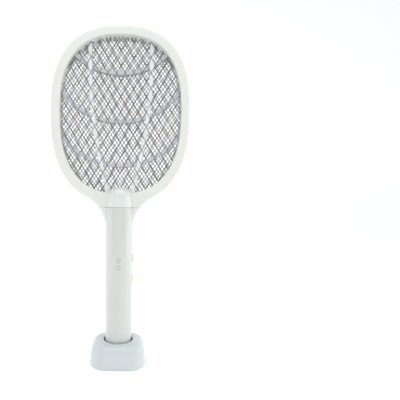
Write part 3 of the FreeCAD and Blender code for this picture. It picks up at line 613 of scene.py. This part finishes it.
def dome_shell():
    """Front half of the neck's dome: a short barrel under a full-shouldered cap."""
    radius = Place.dome_radius
    low = Place.seam + SEAM_GAP
    bevel = 0.45 * MM
    outer = [(radius - bevel - 0.1 * MM, low), (radius - 0.1 * MM, low + bevel)]
    outer += dome_profile(0.0, 28)
    inner = dome_profile(WALL, 20)[::-1]
    inner.append((radius - WALL, low))
    gap = PARTING_GAP / radius
    return Mesh().bar(turned(outer + inner, -math.pi + gap, -gap, 61)).make("dome")


def mirrored(piece):
    """Turns a front piece into its rear counterpart, with its faces still outwards."""
    piece.data.transform(Matrix.Scale(-1, 4, (0, 1, 0)))
    piece.data.flip_normals()
    return piece


class SWATTER_OT_rim(bpy.types.Operator):
    """Build both hoop covers with their half domes"""
    bl_idname = "swatter.rim"
    bl_label = "Hoop covers"

    def execute(self, context):
        size = sizes()
        outer, inner = rim_outlines()
        finish = moulded("rim_plastic", colours().rim, 0.46, 0.45 * MM, 0.22, 0.02,
                         Specular_IOR_Level=0.45)
        # The dome gets the handle's glossy plastic made 16% lighter: painted light where the dome faces
        # up, not a lighter plastic
        polished_lit_dome = moulded("dome_plastic_painted_light", tint(colours().handle, 1.16), 0.20, 0.7 * MM, 0.05, 0.0,
                           Coat_Weight=0.6, Coat_Roughness=0.08)
        for side in ("front", "rear"):
            rows = section(outer, inner, size.rim_round, size.inner_round, size.round_steps)
            band = Mesh().bar(rows).make("band")
            dome = dome_shell()
            if side == "rear":
                mirrored(band)
                mirrored(dome)
                cut(band, [rod_y(x, z, SCREW_HOLE, SCREW_FLOOR, BEYOND)
                           for x, z in screw_places()])
            node = "hoop_%s_cover" % side
            band.name, dome.name = node + "_shell", node + "_dome"
            settle(band, "racket", "rim_plastic", finish, node)
            settle(dome, "racket", "rim_plastic", polished_lit_dome)
        return {"FINISHED"}


# ---- the handle

def block(x0, x1, half_y, z0, z1, corner, name="cutter"):
    """Block along X whose side view is a rectangle with round corners."""
    return pill((x0, x1), (0.0, (z0 + z1) / 2), half_y, (z1 - z0) / 2, corner, axis=0,
                crown=0.0, edge=0.0, name=name)


def rounded_loop(half_a, half_b, corner, steps=8):
    """Points round a rectangle with round corners, anticlockwise."""
    corner = min(corner, half_a, half_b)
    loop = []
    for number, (sign_a, sign_b) in enumerate(((1, 1), (-1, 1), (-1, -1), (1, -1))):
        centre = (sign_a * (half_a - corner), sign_b * (half_b - corner))
        loop += quarter(centre, corner, 90 * number, steps)
    return np.array(loop)


def pill(span, middle, half_a, half_b, corner, axis, crown, edge, name, steps=6):
    """Button-like block: a rounded rectangle carried along one axis.

    The last of the way the outline shrinks along a quarter circle, and then the end
    rises to a low crown.
    """
    start, stop = span
    sign = 1 if stop > start else -1
    rings = [(start, 0.0), (stop - sign * edge, 0.0)]
    if edge:
        for t in np.linspace(0, math.pi / 2, steps + 1)[1:]:
            rings.append((stop - sign * edge * (1 - math.sin(t)), edge * (1 - math.cos(t))))
    shrink_left = min(half_a, half_b) - edge
    for share in (0.35, 0.7, 0.95):
        rings.append((stop + sign * crown * (1 - (1 - share) ** 2), edge + shrink_left * share))
    if not edge and not crown:
        rings = rings[:2]
    rows = []
    for along, inset in rings:
        loop = rounded_loop(half_a - inset, half_b - inset, max(corner - inset, 0.02 * MM))
        a, b = loop[:, 0] + middle[0], loop[:, 1] + middle[1]
        rows.append(stack(along, a, b) if axis == 0 else stack(a, along, b))
    return Mesh().bar(np.stack(rows)).make(name)


def barrel_shell():
    """Front half of the handle: an even taper with eased ends and a tongue at the top."""
    low, high = Place.shell_foot, Place.seam - SEAM_GAP
    bevel, thin = 0.5 * MM, 1.0 * MM

    def side(z, inset=0.0):
        return (handle_radius(z) - 0.1 * MM - inset, z)

    heights = np.linspace(low + 0.6 * bevel, high - bevel, 40)
    profile = [side(low, 0.4 * bevel)] + [side(z) for z in heights]
    profile += [side(high, bevel), side(high, thin)]
    profile += [side(high + 3 * MM, thin), side(high + 3 * MM, WALL)]
    profile += [side(low, WALL)]
    gap = PARTING_GAP / Place.dome_radius
    return Mesh().bar(turned(profile, -math.pi + gap, -gap, 73)).make("barrel")


def wing(size, side):
    """Lower end of one wing, between the seam and the tip where it sinks into the handle."""
    outer = flare_points(WING_TIP, Place.seam - SEAM_GAP, 36)
    inner = np.stack([np.full(len(outer), WING_ROOT), outer[:, 1]], axis=1)
    rows = section(outer, inner, size.rim_round, size.inner_round, size.round_steps)
    rows[..., 0] *= side
    return Mesh().bar(rows).make("wing")


def window_blocks(gap, y0, y1, edge=0.0, crown=0.0):
    """The two indicator windows, or their openings, from the CAD node's box."""
    low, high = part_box("indicator_windows")
    half_x = (high[0] - low[0]) / 2
    half_z = half_x * 5.6 / 4.6
    return [pill((y0, y1), (0.0, z), half_x + gap, half_z + gap, 1.15 * MM, 1, crown, edge,
                 "window") for z in (low[2] + half_z, high[2] - half_z)]


def control_cutters():
    """Openings on the parting line for the button and for the knob's whole travel."""
    gap = 0.3 * MM
    openings = ((10 * MM, ZAP_HALF, Place.zap_z, 0.0),
                (KNOB_BED, KNOB_HALF, Place.knob_z, KNOB_TRAVEL))
    return [block(x0, BEYOND, half_y + gap, z - rise - gap, z + rise + travel + gap, half_y + gap)
            for x0, (half_y, rise), z, travel in openings]


def side_button(node, half, z, crown, edge):
    """Long round button that stands out of the handle's side along X."""
    back, face = low_high(node, 0)
    half_y, rise = half
    return pill((back, face - crown), (0.0, z), half_y, rise, half_y, 0, crown, edge, node)


class SWATTER_OT_handle(bpy.types.Operator):
    """Build both handle shells with their openings, and the indicator windows"""
    bl_idname = "swatter.handle"
    bl_label = "Handle"

    def execute(self, context):
        size = sizes()
        finish = moulded("handle_plastic", colours().handle, 0.20, 0.7 * MM, 0.05, 0.03,
                         Coat_Weight=0.6, Coat_Roughness=0.08, Specular_IOR_Level=0.5)
        matt = moulded("wing_plastic", colours().rim, 0.46, 0.45 * MM, 0.22, 0.0)
        low, high = low_high("handle_screws", 2)
        for side in ("front", "rear"):
            barrel = barrel_shell()
            wings = [wing(size, 1), wing(size, -1)]
            if side == "rear":
                for part in [barrel] + wings:
                    mirrored(part)
                heights = (low + SCREW_HEAD, high - SCREW_HEAD)
                cut(barrel, [rod_y(0, z, SCREW_HOLE, SCREW_FLOOR, BEYOND) for z in heights])
            else:
                cut(barrel, window_blocks(0.15 * MM, -12 * MM, -BEYOND))
            cut(barrel, control_cutters())
            node = "handle_%s_shell" % side
            barrel.name = node + "_barrel"
            settle(barrel, "racket", "handle_plastic", finish, node)
            settle(join(node + "_wings", wings), "racket", "handle_plastic", matt)
        clear = moulded("window_plastic", tint(colours().handle, 0.93), 0.3,
                        0.5 * MM, 0.05, 0.0, Coat_Weight=0.5)
        face = -handle_radius(low_high("indicator_windows", 2)[0]) + 0.15 * MM
        windows = join("indicator_window_lenses", window_blocks(0.0, -15 * MM, face, 0.5 * MM, 0.2 * MM))
        settle(windows, "racket", "window_plastic", clear, "indicator_windows")
        return {"FINISHED"}


class SWATTER_OT_controls(bpy.types.Operator):
    """Build the push button and the sliding knob"""
    bl_idname = "swatter.controls"
    bl_label = "Button and knob"

    def execute(self, context):
        cap = side_button("zap_button", ZAP_HALF, Place.zap_z, 0.35 * MM, 1.0 * MM)
        back = low_high("zap_button", 0)[0]
        half_y, rise = FLANGE_HALF
        flange = block(back, back + 1.2 * MM, half_y, Place.zap_z - rise, Place.zap_z + rise,
                       half_y, "zap_flange")
        finish = moulded("button_plastic", colours().zap, 0.3, 0.5 * MM, 0.06, 0.0, Coat_Weight=0.3)
        settle(join("zap_button_cap", [cap, flange]), "zap_button", "button_plastic", finish,
               "zap_button")

        knob = side_button("mode_switch_knob", KNOB_HALF, Place.knob_z, 0.3 * MM, 0.8 * MM)
        knob.name = "mode_knob"
        face = low_high("mode_switch_knob", 0)[1]
        groove = 0.4 * MM
        grooves = [block(face - 0.5 * MM, face + 2 * MM, 5 * MM, z - groove, z + groove, 0.3 * MM)
                   for z in (Place.knob_z - 2 * MM, Place.knob_z, Place.knob_z + 2 * MM)]
        finish = moulded("knob_plastic", colours().knob, 0.35, 0.5 * MM, 0.06, 0.0, Coat_Weight=0.2)
        settle(cut(knob, grooves), "mode_knob", "knob_plastic", finish, "mode_switch_knob")
        return {"FINISHED"}


# ---- the screens

def inside_share(start, direction, limit, grow):
    """Where a line enters and leaves the opening, by sampling it finely."""
    along = np.linspace(-limit, limit, 1601)
    x = start[0] + along * direction[0]
    z = start[1] + along * direction[1]
    wide, tall = Place.dome_radius - 2 * MM, DOME_RISE - 4 * MM
    rise = np.maximum(z - DOME_Z, 0)
    near_dome = (np.abs(x) / wide) ** DOME_FULLNESS + (rise / tall) ** DOME_FULLNESS < 1
    inside = (window_level(x, z, grow) < 1) & ~near_dome
    if not inside.any():
        return None
    return along[inside].min(), along[inside].max()


def stretched_screen(name, width, height, strand, thick, y, twist, knot):
    """Stretched metal screen: two families of slanting strands and a knot at each crossing.

    A strand is a flat bar whose section is turned a little about its own length, one
    way in one family and the other way in the other, as stretching leaves it.
    """
    mesh = Mesh()
    grow = 3 * MM
    limit = HEAD_RISE + HEAD_DROP
    count = int(limit / width) + 2
    unit = np.array([width, height]) / math.hypot(width, height)
    for sign in (1, -1):
        direction = np.array([sign * unit[0], unit[1]])
        lean = sign * math.radians(twist)
        a, b = np.array([(-1, -1), (1, -1), (1, 1), (-1, 1)]).T * [[strand / 2], [thick / 2]]
        sideways = a * math.cos(lean) - b * math.sin(lean)
        deep = a * math.sin(lean) + b * math.cos(lean)
        for number in range(-count, count + 1):
            start = np.array([number * width, HEAD_Z])
            ends = inside_share(start, direction, limit, grow)
            if ends:
                points = [start + direction * end for end in ends]
                mesh.bar(np.stack([stack(x - direction[1] * sideways, y + deep,
                                         z + direction[0] * sideways) for x, z in points]))
    add_knots(mesh, width, height, y, knot, thick, grow)
    return mesh.make(name, merge=1e-9, angle=25)


def add_knots(mesh, width, height, y, knot, thick, grow):
    """Small upright lozenges where the strands cross."""
    rows = int((HEAD_RISE + HEAD_DROP) / height) + 2
    columns = int(Place.head_half_width / width) + 2
    row, column = np.mgrid[-2 * rows:2 * rows + 1, -columns:columns + 1]
    x = (column + 0.5 * (row % 2)) * width
    z = HEAD_Z + row * height / 2
    clear = np.hypot(x, z - DOME_Z) > Place.dome_radius
    clear &= window_level(x, z, grow) < 0.97
    lozenge = np.array([(knot[0], 0), (0, knot[1]), (-knot[0], 0), (0, -knot[1])])
    for px, pz in zip(x[clear], z[clear]):
        rings = [stack(px + lozenge[:, 0], y + side * thick * 0.52, pz + lozenge[:, 1])
                 for side in (-1, 1)]
        mesh.bar(np.stack(rings))


def rib(points, half_width, y0, y1, edge=0.5 * MM):
    """Bar along a curve in the plane of the head, with eased front and rear edges."""
    along = np.gradient(points, axis=0)
    along /= np.linalg.norm(along, axis=1)[:, None]
    normal = np.stack([-along[:, 1], along[:, 0]], axis=1)
    ring = [(-half_width, y0 + edge), (-half_width + edge, y0), (half_width - edge, y0),
            (half_width, y0 + edge), (half_width, y1 - edge), (half_width - edge, y1),
            (-half_width + edge, y1), (-half_width, y1 - edge)]
    rows = [stack(points[:, 0] + normal[:, 0] * s, y, points[:, 1] + normal[:, 1] * s)
            for s, y in ring]
    return np.stack(rows, axis=1)


def arc_through(first, middle, last, count=60):
    """Points of the circle's arc through three points."""
    a, b, c = (complex(*p) for p in (first, middle, last))
    w = (c - a) / (b - a)
    centre = a - (a - b) * (w - abs(w) ** 2) / (2j * w.imag)
    start = np.angle(a - centre)
    through = np.angle((b - centre) / (a - centre))
    sweep = np.angle((c - centre) / (a - centre))
    if (through > 0) != (sweep > 0):
        sweep -= math.copysign(2 * math.pi, sweep)
    turn = start + np.linspace(0, sweep, count)
    return np.stack([centre.real + abs(a - centre) * np.cos(turn),
                     centre.imag + abs(a - centre) * np.sin(turn)], axis=1)


def window_height(x, upper):
    """Height of the opening's edge at a distance from the middle line."""
    reach = WINDOW_RISE if upper else -WINDOW_DROP
    share = 1 - (abs(x) / WINDOW_HALF) ** SQUARENESS
    return HEAD_Z + reach * share ** (1 / SQUARENESS)


def separator_ring(mesh, y0, y1):
    """Flat ring under the rim that carries the ribs, open at the neck's dome."""
    start = -math.pi / 2 + math.atan2(Place.dome_radius, WINDOW_DROP)
    turns = np.linspace(start, math.pi - start, 241)
    inner, outer = window_oval(turns, 0.1 * MM).T, window_oval(turns, 5.5 * MM).T
    rows = [stack(x, y, z) for (x, z), y in ((inner, y0), (outer, y0), (outer, y1), (inner, y1))]
    mesh.bar(np.stack(rows, axis=1))


def long_ribs(mesh, y0, y1):
    """The two long ribs that run from the top of the opening down towards the neck."""
    (top_x, top_past), (middle_x, middle_rise), (foot_x, foot_past) = LONG_RIB
    for side in (-1, 1):
        top = (side * top_x, window_height(top_x, True) + top_past)
        middle = (side * middle_x, HEAD_Z + middle_rise)
        foot = (side * foot_x, window_height(foot_x, False) + foot_past)
        mesh.bar(rib(arc_through(top, middle, foot), 3.0 * MM, y0, y1))


def cross_arcs(mesh, y0, y1):
    """Three hanging arcs that reach from side to side of the opening."""
    past = 3 * MM
    end_x = WINDOW_HALF + past
    for bottom, lift in CROSS_ARCS:
        z = HEAD_Z + bottom * MM
        arc = arc_through((-end_x, z + lift * MM), (0.0, z), (end_x, z + lift * MM), 160)
        arc = arc[window_level(arc[:, 0], arc[:, 1], past) < 1]
        mesh.bar(rib(arc, 2.8 * MM, y0, y1))


class SWATTER_OT_screens(bpy.types.Operator):
    """Build the guards, the live grid and the separator ribs"""
    bl_idname = "swatter.screens"
    bl_label = "Screens"

    def execute(self, context):
        size, colour = sizes(), colours()
        guard = metal("guard_metal", colour.guard, 0.38, 0.8)
        grid = metal("grid_metal", colour.grid, 0.42, 0.85)
        for side in ("front", "rear"):
            node = side + "_guard_mesh"
            y = sum(low_high(node, 1)) / 2
            screen = stretched_screen(side + "_guard_screen", size.guard_width, size.guard_height,
                                      size.guard_strand, 0.45 * MM, y, 22, (0.55 * MM, 1.3 * MM))
            settle(screen, "racket", "guard_metal", guard, node)
        live = stretched_screen("live_screen", size.grid_width, size.grid_height, size.grid_strand,
                                0.3 * MM, 0.0, 28, (0.42 * MM, 0.75 * MM))
        settle(live, "racket", "grid_metal", grid, "high_voltage_grid")

        white = moulded("separator_plastic", colour.rib, 0.45, 0.5 * MM, 0.1, 0.0)
        # The arcs' grey-blue finish is painted shade: the ribs' white plastic shown darker, not a
        # different plastic
        shaded_arc_plastic = moulded("separator_painted_shade", colour.arc_painted_shade, 0.5, 0.5 * MM, 0.1, 0.0)
        gap = 0.02 * MM
        for side in ("front", "rear"):
            y0, y1 = (-RIB_FAR, -RIB_NEAR) if side == "front" else (RIB_NEAR, RIB_FAR)
            ribs = Mesh()
            separator_ring(ribs, y0 + gap, y1 - gap)
            long_ribs(ribs, y0 + gap, y1 - gap)
            settle(ribs.make(side + "_separator_ribs"), "racket", "separator_plastic", white,
                   side + "_separator")
            arcs = Mesh()
            cross_arcs(arcs, y0 + 4 * gap, y1 - 4 * gap)
            settle(arcs.make(side + "_separator_arcs"), "racket", "separator_plastic", shaded_arc_plastic)
        return {"FINISHED"}


# ---- the dock

def dock_ring(inset, z, roundness=0.0, radius=SOCKET_RADIUS, count=24):
    """One ring of the dock: a rounded rectangle eased towards a circle.

    Each point is (1 - roundness) times the rectangle's point plus roundness times
    the circle's point in the same direction.
    """
    half_a, half_b = Place.dock_half_width - inset, Place.dock_half_depth - inset
    corner = max(DOCK_CORNER - inset, 2 * MM)
    corners = rounded_loop(half_a, half_b, corner, count).reshape(4, count + 1, 2)
    first, last = np.roll(corners, -1, axis=0)[:, :1], corners[:, -1:]
    sides = last + (first - last) * np.array([0.2, 0.4, 0.6, 0.8])[:, None]
    loop = np.concatenate([corners, sides], axis=1).reshape(-1, 2)
    round_points = loop / np.linalg.norm(loop, axis=1)[:, None] * radius
    mixed = loop * (1 - roundness) + round_points * roundness
    return stack(mixed[:, 0], mixed[:, 1], z)


def dock_body():
    """Dock shell as rings: up the leaning sides, over the soft top and down the socket."""
    low, top = Place.dock_low, Place.dock_top - COLLAR_RISE
    lean, soft, wall = DOCK_LEAN, sizes().dock_top_round, DOCK_WALL
    floor = Place.handle_foot
    shoulder = top - soft

    def lean_at(z):
        return lean * (z - low) / (top - low)

    foot = 1.3 * MM
    rings = [dock_ring(wall + 0.3 * MM, low), dock_ring(foot, low)]
    rings += [dock_ring(foot * (1 - math.sin(t)), low + foot * (1 - math.cos(t)))
              for t in np.linspace(0, math.pi / 2, 6)]
    rings += [dock_ring(lean_at(z), z) for z in np.linspace(low + 3 * MM, shoulder, 8)]
    for t in np.linspace(0, math.pi / 2, 19)[1:]:
        z = shoulder + soft * math.sin(t)
        inset = lean_at(shoulder) + (lean - lean_at(shoulder)) * math.sin(t) + soft * (1 - math.cos(t))
        rings.append(dock_ring(inset, z))
    rings += [dock_ring(lean + soft, top, roundness) for roundness in (0.5, 1.0)]
    underside, outside = floor - 2 * MM, SOCKET_RADIUS + 2 * MM
    rings += [dock_ring(0, z, 1, radius) for z, radius in (
        (floor, SOCKET_RADIUS), (floor, SOCKET_RADIUS * 0.6), (floor, SOCKET_RADIUS * 0.2),
        (underside, SOCKET_RADIUS * 0.2), (underside, SOCKET_RADIUS * 0.6),
        (underside, outside), (top - wall - 1 * MM, outside))]
    rings.append(dock_ring(lean + soft, top - wall, 0.3, outside))
    for t in np.linspace(math.pi / 2, 0, 8):
        z = shoulder + (soft - wall) * math.sin(t)
        inset = lean_at(shoulder) + wall + (soft - wall) * (1 - math.cos(t))
        rings.append(dock_ring(inset, z))
    return np.stack(rings)


def collar():
    """Raised ring round the socket, with both top edges rounded."""
    low, top = Place.dock_top - 5 * MM, Place.dock_top
    inner, outer, edge = SOCKET_RADIUS, COLLAR_RADIUS, 0.75 * MM
    profile = [(inner, low), (outer, low)] + quarter((outer - edge, top - edge), edge, 0, 6)
    profile += quarter((inner + edge, top - edge), edge, 90, 6)
    return Mesh().grid(turned(profile, 0, 2 * math.pi, 97)[:-1], closed_rows=True,
                       closed_columns=True).make("collar")


class SWATTER_OT_dock(bpy.types.Operator):
    """Build the dock's shell with its collar"""
    bl_idname = "swatter.dock"
    bl_label = "Dock"

    def execute(self, context):
        body = Mesh().grid(dock_body(), closed_rows=True, closed_columns=True).make("body", angle=40)
        low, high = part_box("dock_inlet_shell")
        gap = 0.3 * MM
        opening = pill((high[1] - 4 * MM, high[1] + 9 * MM), (0.0, (low[2] + high[2]) / 2),
                       high[0] + gap, (high[2] - low[2]) / 2 + gap, 0.9 * MM, 1, 0.0, 0.0, "opening")
        cut(body, [opening])
        finish = moulded("dock_plastic", colours().dock, 0.33, 0.5 * MM, 0.08, 0.10,
                         Coat_Weight=0.25, Coat_Roughness=0.2)
        settle(join("dock_housing", [body, collar()]), "dock", "dock_plastic", finish, "dock_shell")
        return {"FINISHED"}


# ---- inner pieces

class SWATTER_OT_inner(bpy.types.Operator):
    """Give every CAD piece that stays its own finish"""
    bl_idname = "swatter.inner"
    bl_label = "Inner pieces"

    def execute(self, context):
        colour = colours()
        finishes = {
            "handle_plastic": moulded("cap_plastic", colour.handle, 0.25, 0.7 * MM, 0.05, 0.02,
                                      Coat_Weight=0.5),
            "dock_plastic": moulded("base_plastic", colour.dock, 0.45, 0.5 * MM, 0.12, 0.04),
            "screw_steel": metal("screw_steel", (0.55, 0.55, 0.56), 0.28, 0.8),
            "contact_metal": metal("contact_metal", (0.86, 0.68, 0.33), 0.22, 0.85),
            "inlet_steel": metal("inlet_steel", (0.66, 0.66, 0.68), 0.25, 0.85),
            "board": circuit_board("board"),
            "cell_wrap": coated("cell_wrap", (0.03, 0.22, 0.16), 0.3, 20 * MM, Coat_Weight=0.5),
            "transformer": coated("transformer", (0.75, 0.52, 0.08), 0.45),
            "capacitor": coated("capacitor", (0.42, 0.12, 0.05), 0.25, Coat_Weight=0.4),
            "switch_black": coated("switch_black", (0.03, 0.03, 0.032), 0.4),
            "lamp": coated("lamp", (0.75, 0.75, 0.70), 0.15, Coat_Weight=0.5),
            "lead_red": coated("lead_red", (0.50, 0.03, 0.02), 0.4),
            "lead_black": coated("lead_black", (0.03, 0.03, 0.03), 0.4),
            "foot_rubber": coated("foot_rubber", (0.09, 0.09, 0.09), 0.75, 1.5 * MM),
        }
        for entry in frame["record"]["subparts"]:
            piece, slot = NODES[entry["node"]], entry["material_slot"]
            if not piece.hide_render:
                if slot not in finishes:
                    raise RuntimeError("no finish for " + slot)
                piece.data.materials.clear()
                piece.data.materials.append(finishes[slot])
        return {"FINISHED"}


# ---- the stage

def area_light(name, place, target, width, height, power, colour=(1, 1, 1)):
    """Soft box aimed at a point."""
    lamp = bpy.data.lights.new(name, "AREA")
    lamp.shape, lamp.size, lamp.size_y = "RECTANGLE", width, height
    lamp.energy, lamp.color = power, colour
    box = bpy.data.objects.new(name, lamp)
    box.location = place
    box.visible_camera = False
    aim = Vector(target) - Vector(place)
    box.rotation_euler = aim.to_track_quat("-Z", "Y").to_euler()
    bpy.context.scene.collection.objects.link(box)
    return box


def backdrop():
    """Floor that curves up into a wall behind the swatter."""
    radius, reach, width = 0.5, 1.6, 4.0
    turn = np.linspace(0, math.pi / 2, 17)
    y = np.concatenate([[-reach], reach - radius + radius * np.sin(turn), [reach]])
    z = np.concatenate([[0], radius * (1 - np.cos(turn)), [2.4]])
    rows = np.stack([stack(x, y, z) for x in (width, -width)])
    floor = Mesh().grid(rows).make("floor")
    shader = Shader("floor_paper")
    grain = shader.noise(2 * MM, 3.0)
    base = shader.blend(grain, (0.93, 0.93, 0.93, 1), (0.95, 0.95, 0.95, 1))
    floor.data.materials.append(shader.finish(base, 0.9, grain, 0.05, 0.02 * MM,
                                              Emission_Color=(1, 1, 1, 1),
                                              Emission_Strength=0.25))
    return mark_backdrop(floor)


class SWATTER_OT_stage(bpy.types.Operator):
    """Set up the floor, the lights and the camera"""
    bl_idname = "swatter.stage"
    bl_label = "Stage"

    def execute(self, context):
        scene = bpy.context.scene
        backdrop()
        middle = (0.0, 0.0, 0.25)
        area_light("left_box", (-0.8, 0.06, 0.4), (0.0, 0.06, 0.3), 1.0, 1.1, 1.9, (0.95, 0.98, 1.0))
        area_light("right_box", (0.8, 0.06, 0.4), (0.0, 0.06, 0.3), 1.0, 1.1, 3.7, (1.0, 0.995, 0.98))
        area_light("top_box", (0.0, -0.35, 1.25), middle, 0.9, 0.7, 4.2)
        area_light("front_fill", (-0.25, -1.5, 0.35), middle, 1.2, 1.2, 2.4)
        world = bpy.data.worlds.new("studio")
        world.use_nodes = True
        background = world.node_tree.nodes["Background"]
        background.inputs[0].default_value = (0.97, 0.985, 1.0, 1)
        background.inputs[1].default_value = 0.66
        scene.world = world
        scene.view_settings.view_transform = "Standard"
        scene.view_settings.look = "None"

        camera = bpy.data.cameras.new("camera")
        camera.sensor_width, camera.lens = 36.0, 29.7
        camera.shift_x = 0.172
        camera.clip_start = 0.01
        view = bpy.data.objects.new("camera", camera)
        scene.collection.objects.link(view)
        place = Matrix.Translation((0.017, -0.488, 0.236))
        view.matrix_world = place @ Matrix.Rotation(math.pi / 2, 4, "X") @ Matrix.Rotation(
            math.radians(0.62), 4, "Z")
        scene.camera = view
        return {"FINISHED"}


# ---- panel and start

STEPS = ("rim", "handle", "controls", "screens", "dock", "inner", "stage")


class SWATTER_PT_panel(bpy.types.Panel):
    """Lists the swatter's build steps, sizes and colours"""
    bl_idname = "SWATTER_PT_panel"
    bl_label = "Fly swatter"
    bl_space_type = "VIEW_3D"
    bl_region_type = "UI"
    bl_category = "Swatter"

    def draw(self, context):
        for step in STEPS:
            self.layout.operator("swatter." + step)
        for group in (context.scene.swatter_sizes, context.scene.swatter_colours):
            for name in group.__annotations__:
                self.layout.prop(group, name)


CLASSES = (SwatterSizes, SwatterColours, SWATTER_OT_rim, SWATTER_OT_handle,
           SWATTER_OT_controls, SWATTER_OT_screens, SWATTER_OT_dock, SWATTER_OT_inner,
           SWATTER_OT_stage, SWATTER_PT_panel)


def register():
    for item in CLASSES:
        bpy.utils.register_class(item)
    bpy.types.Scene.swatter_sizes = PointerProperty(type=SwatterSizes)
    bpy.types.Scene.swatter_colours = PointerProperty(type=SwatterColours)


def unregister():
    del bpy.types.Scene.swatter_colours
    del bpy.types.Scene.swatter_sizes
    for item in reversed(CLASSES):
        bpy.utils.unregister_class(item)


def main():
    register()
    for step in STEPS:
        getattr(bpy.ops.swatter, step)()


if __name__ == "__main__":
    main()
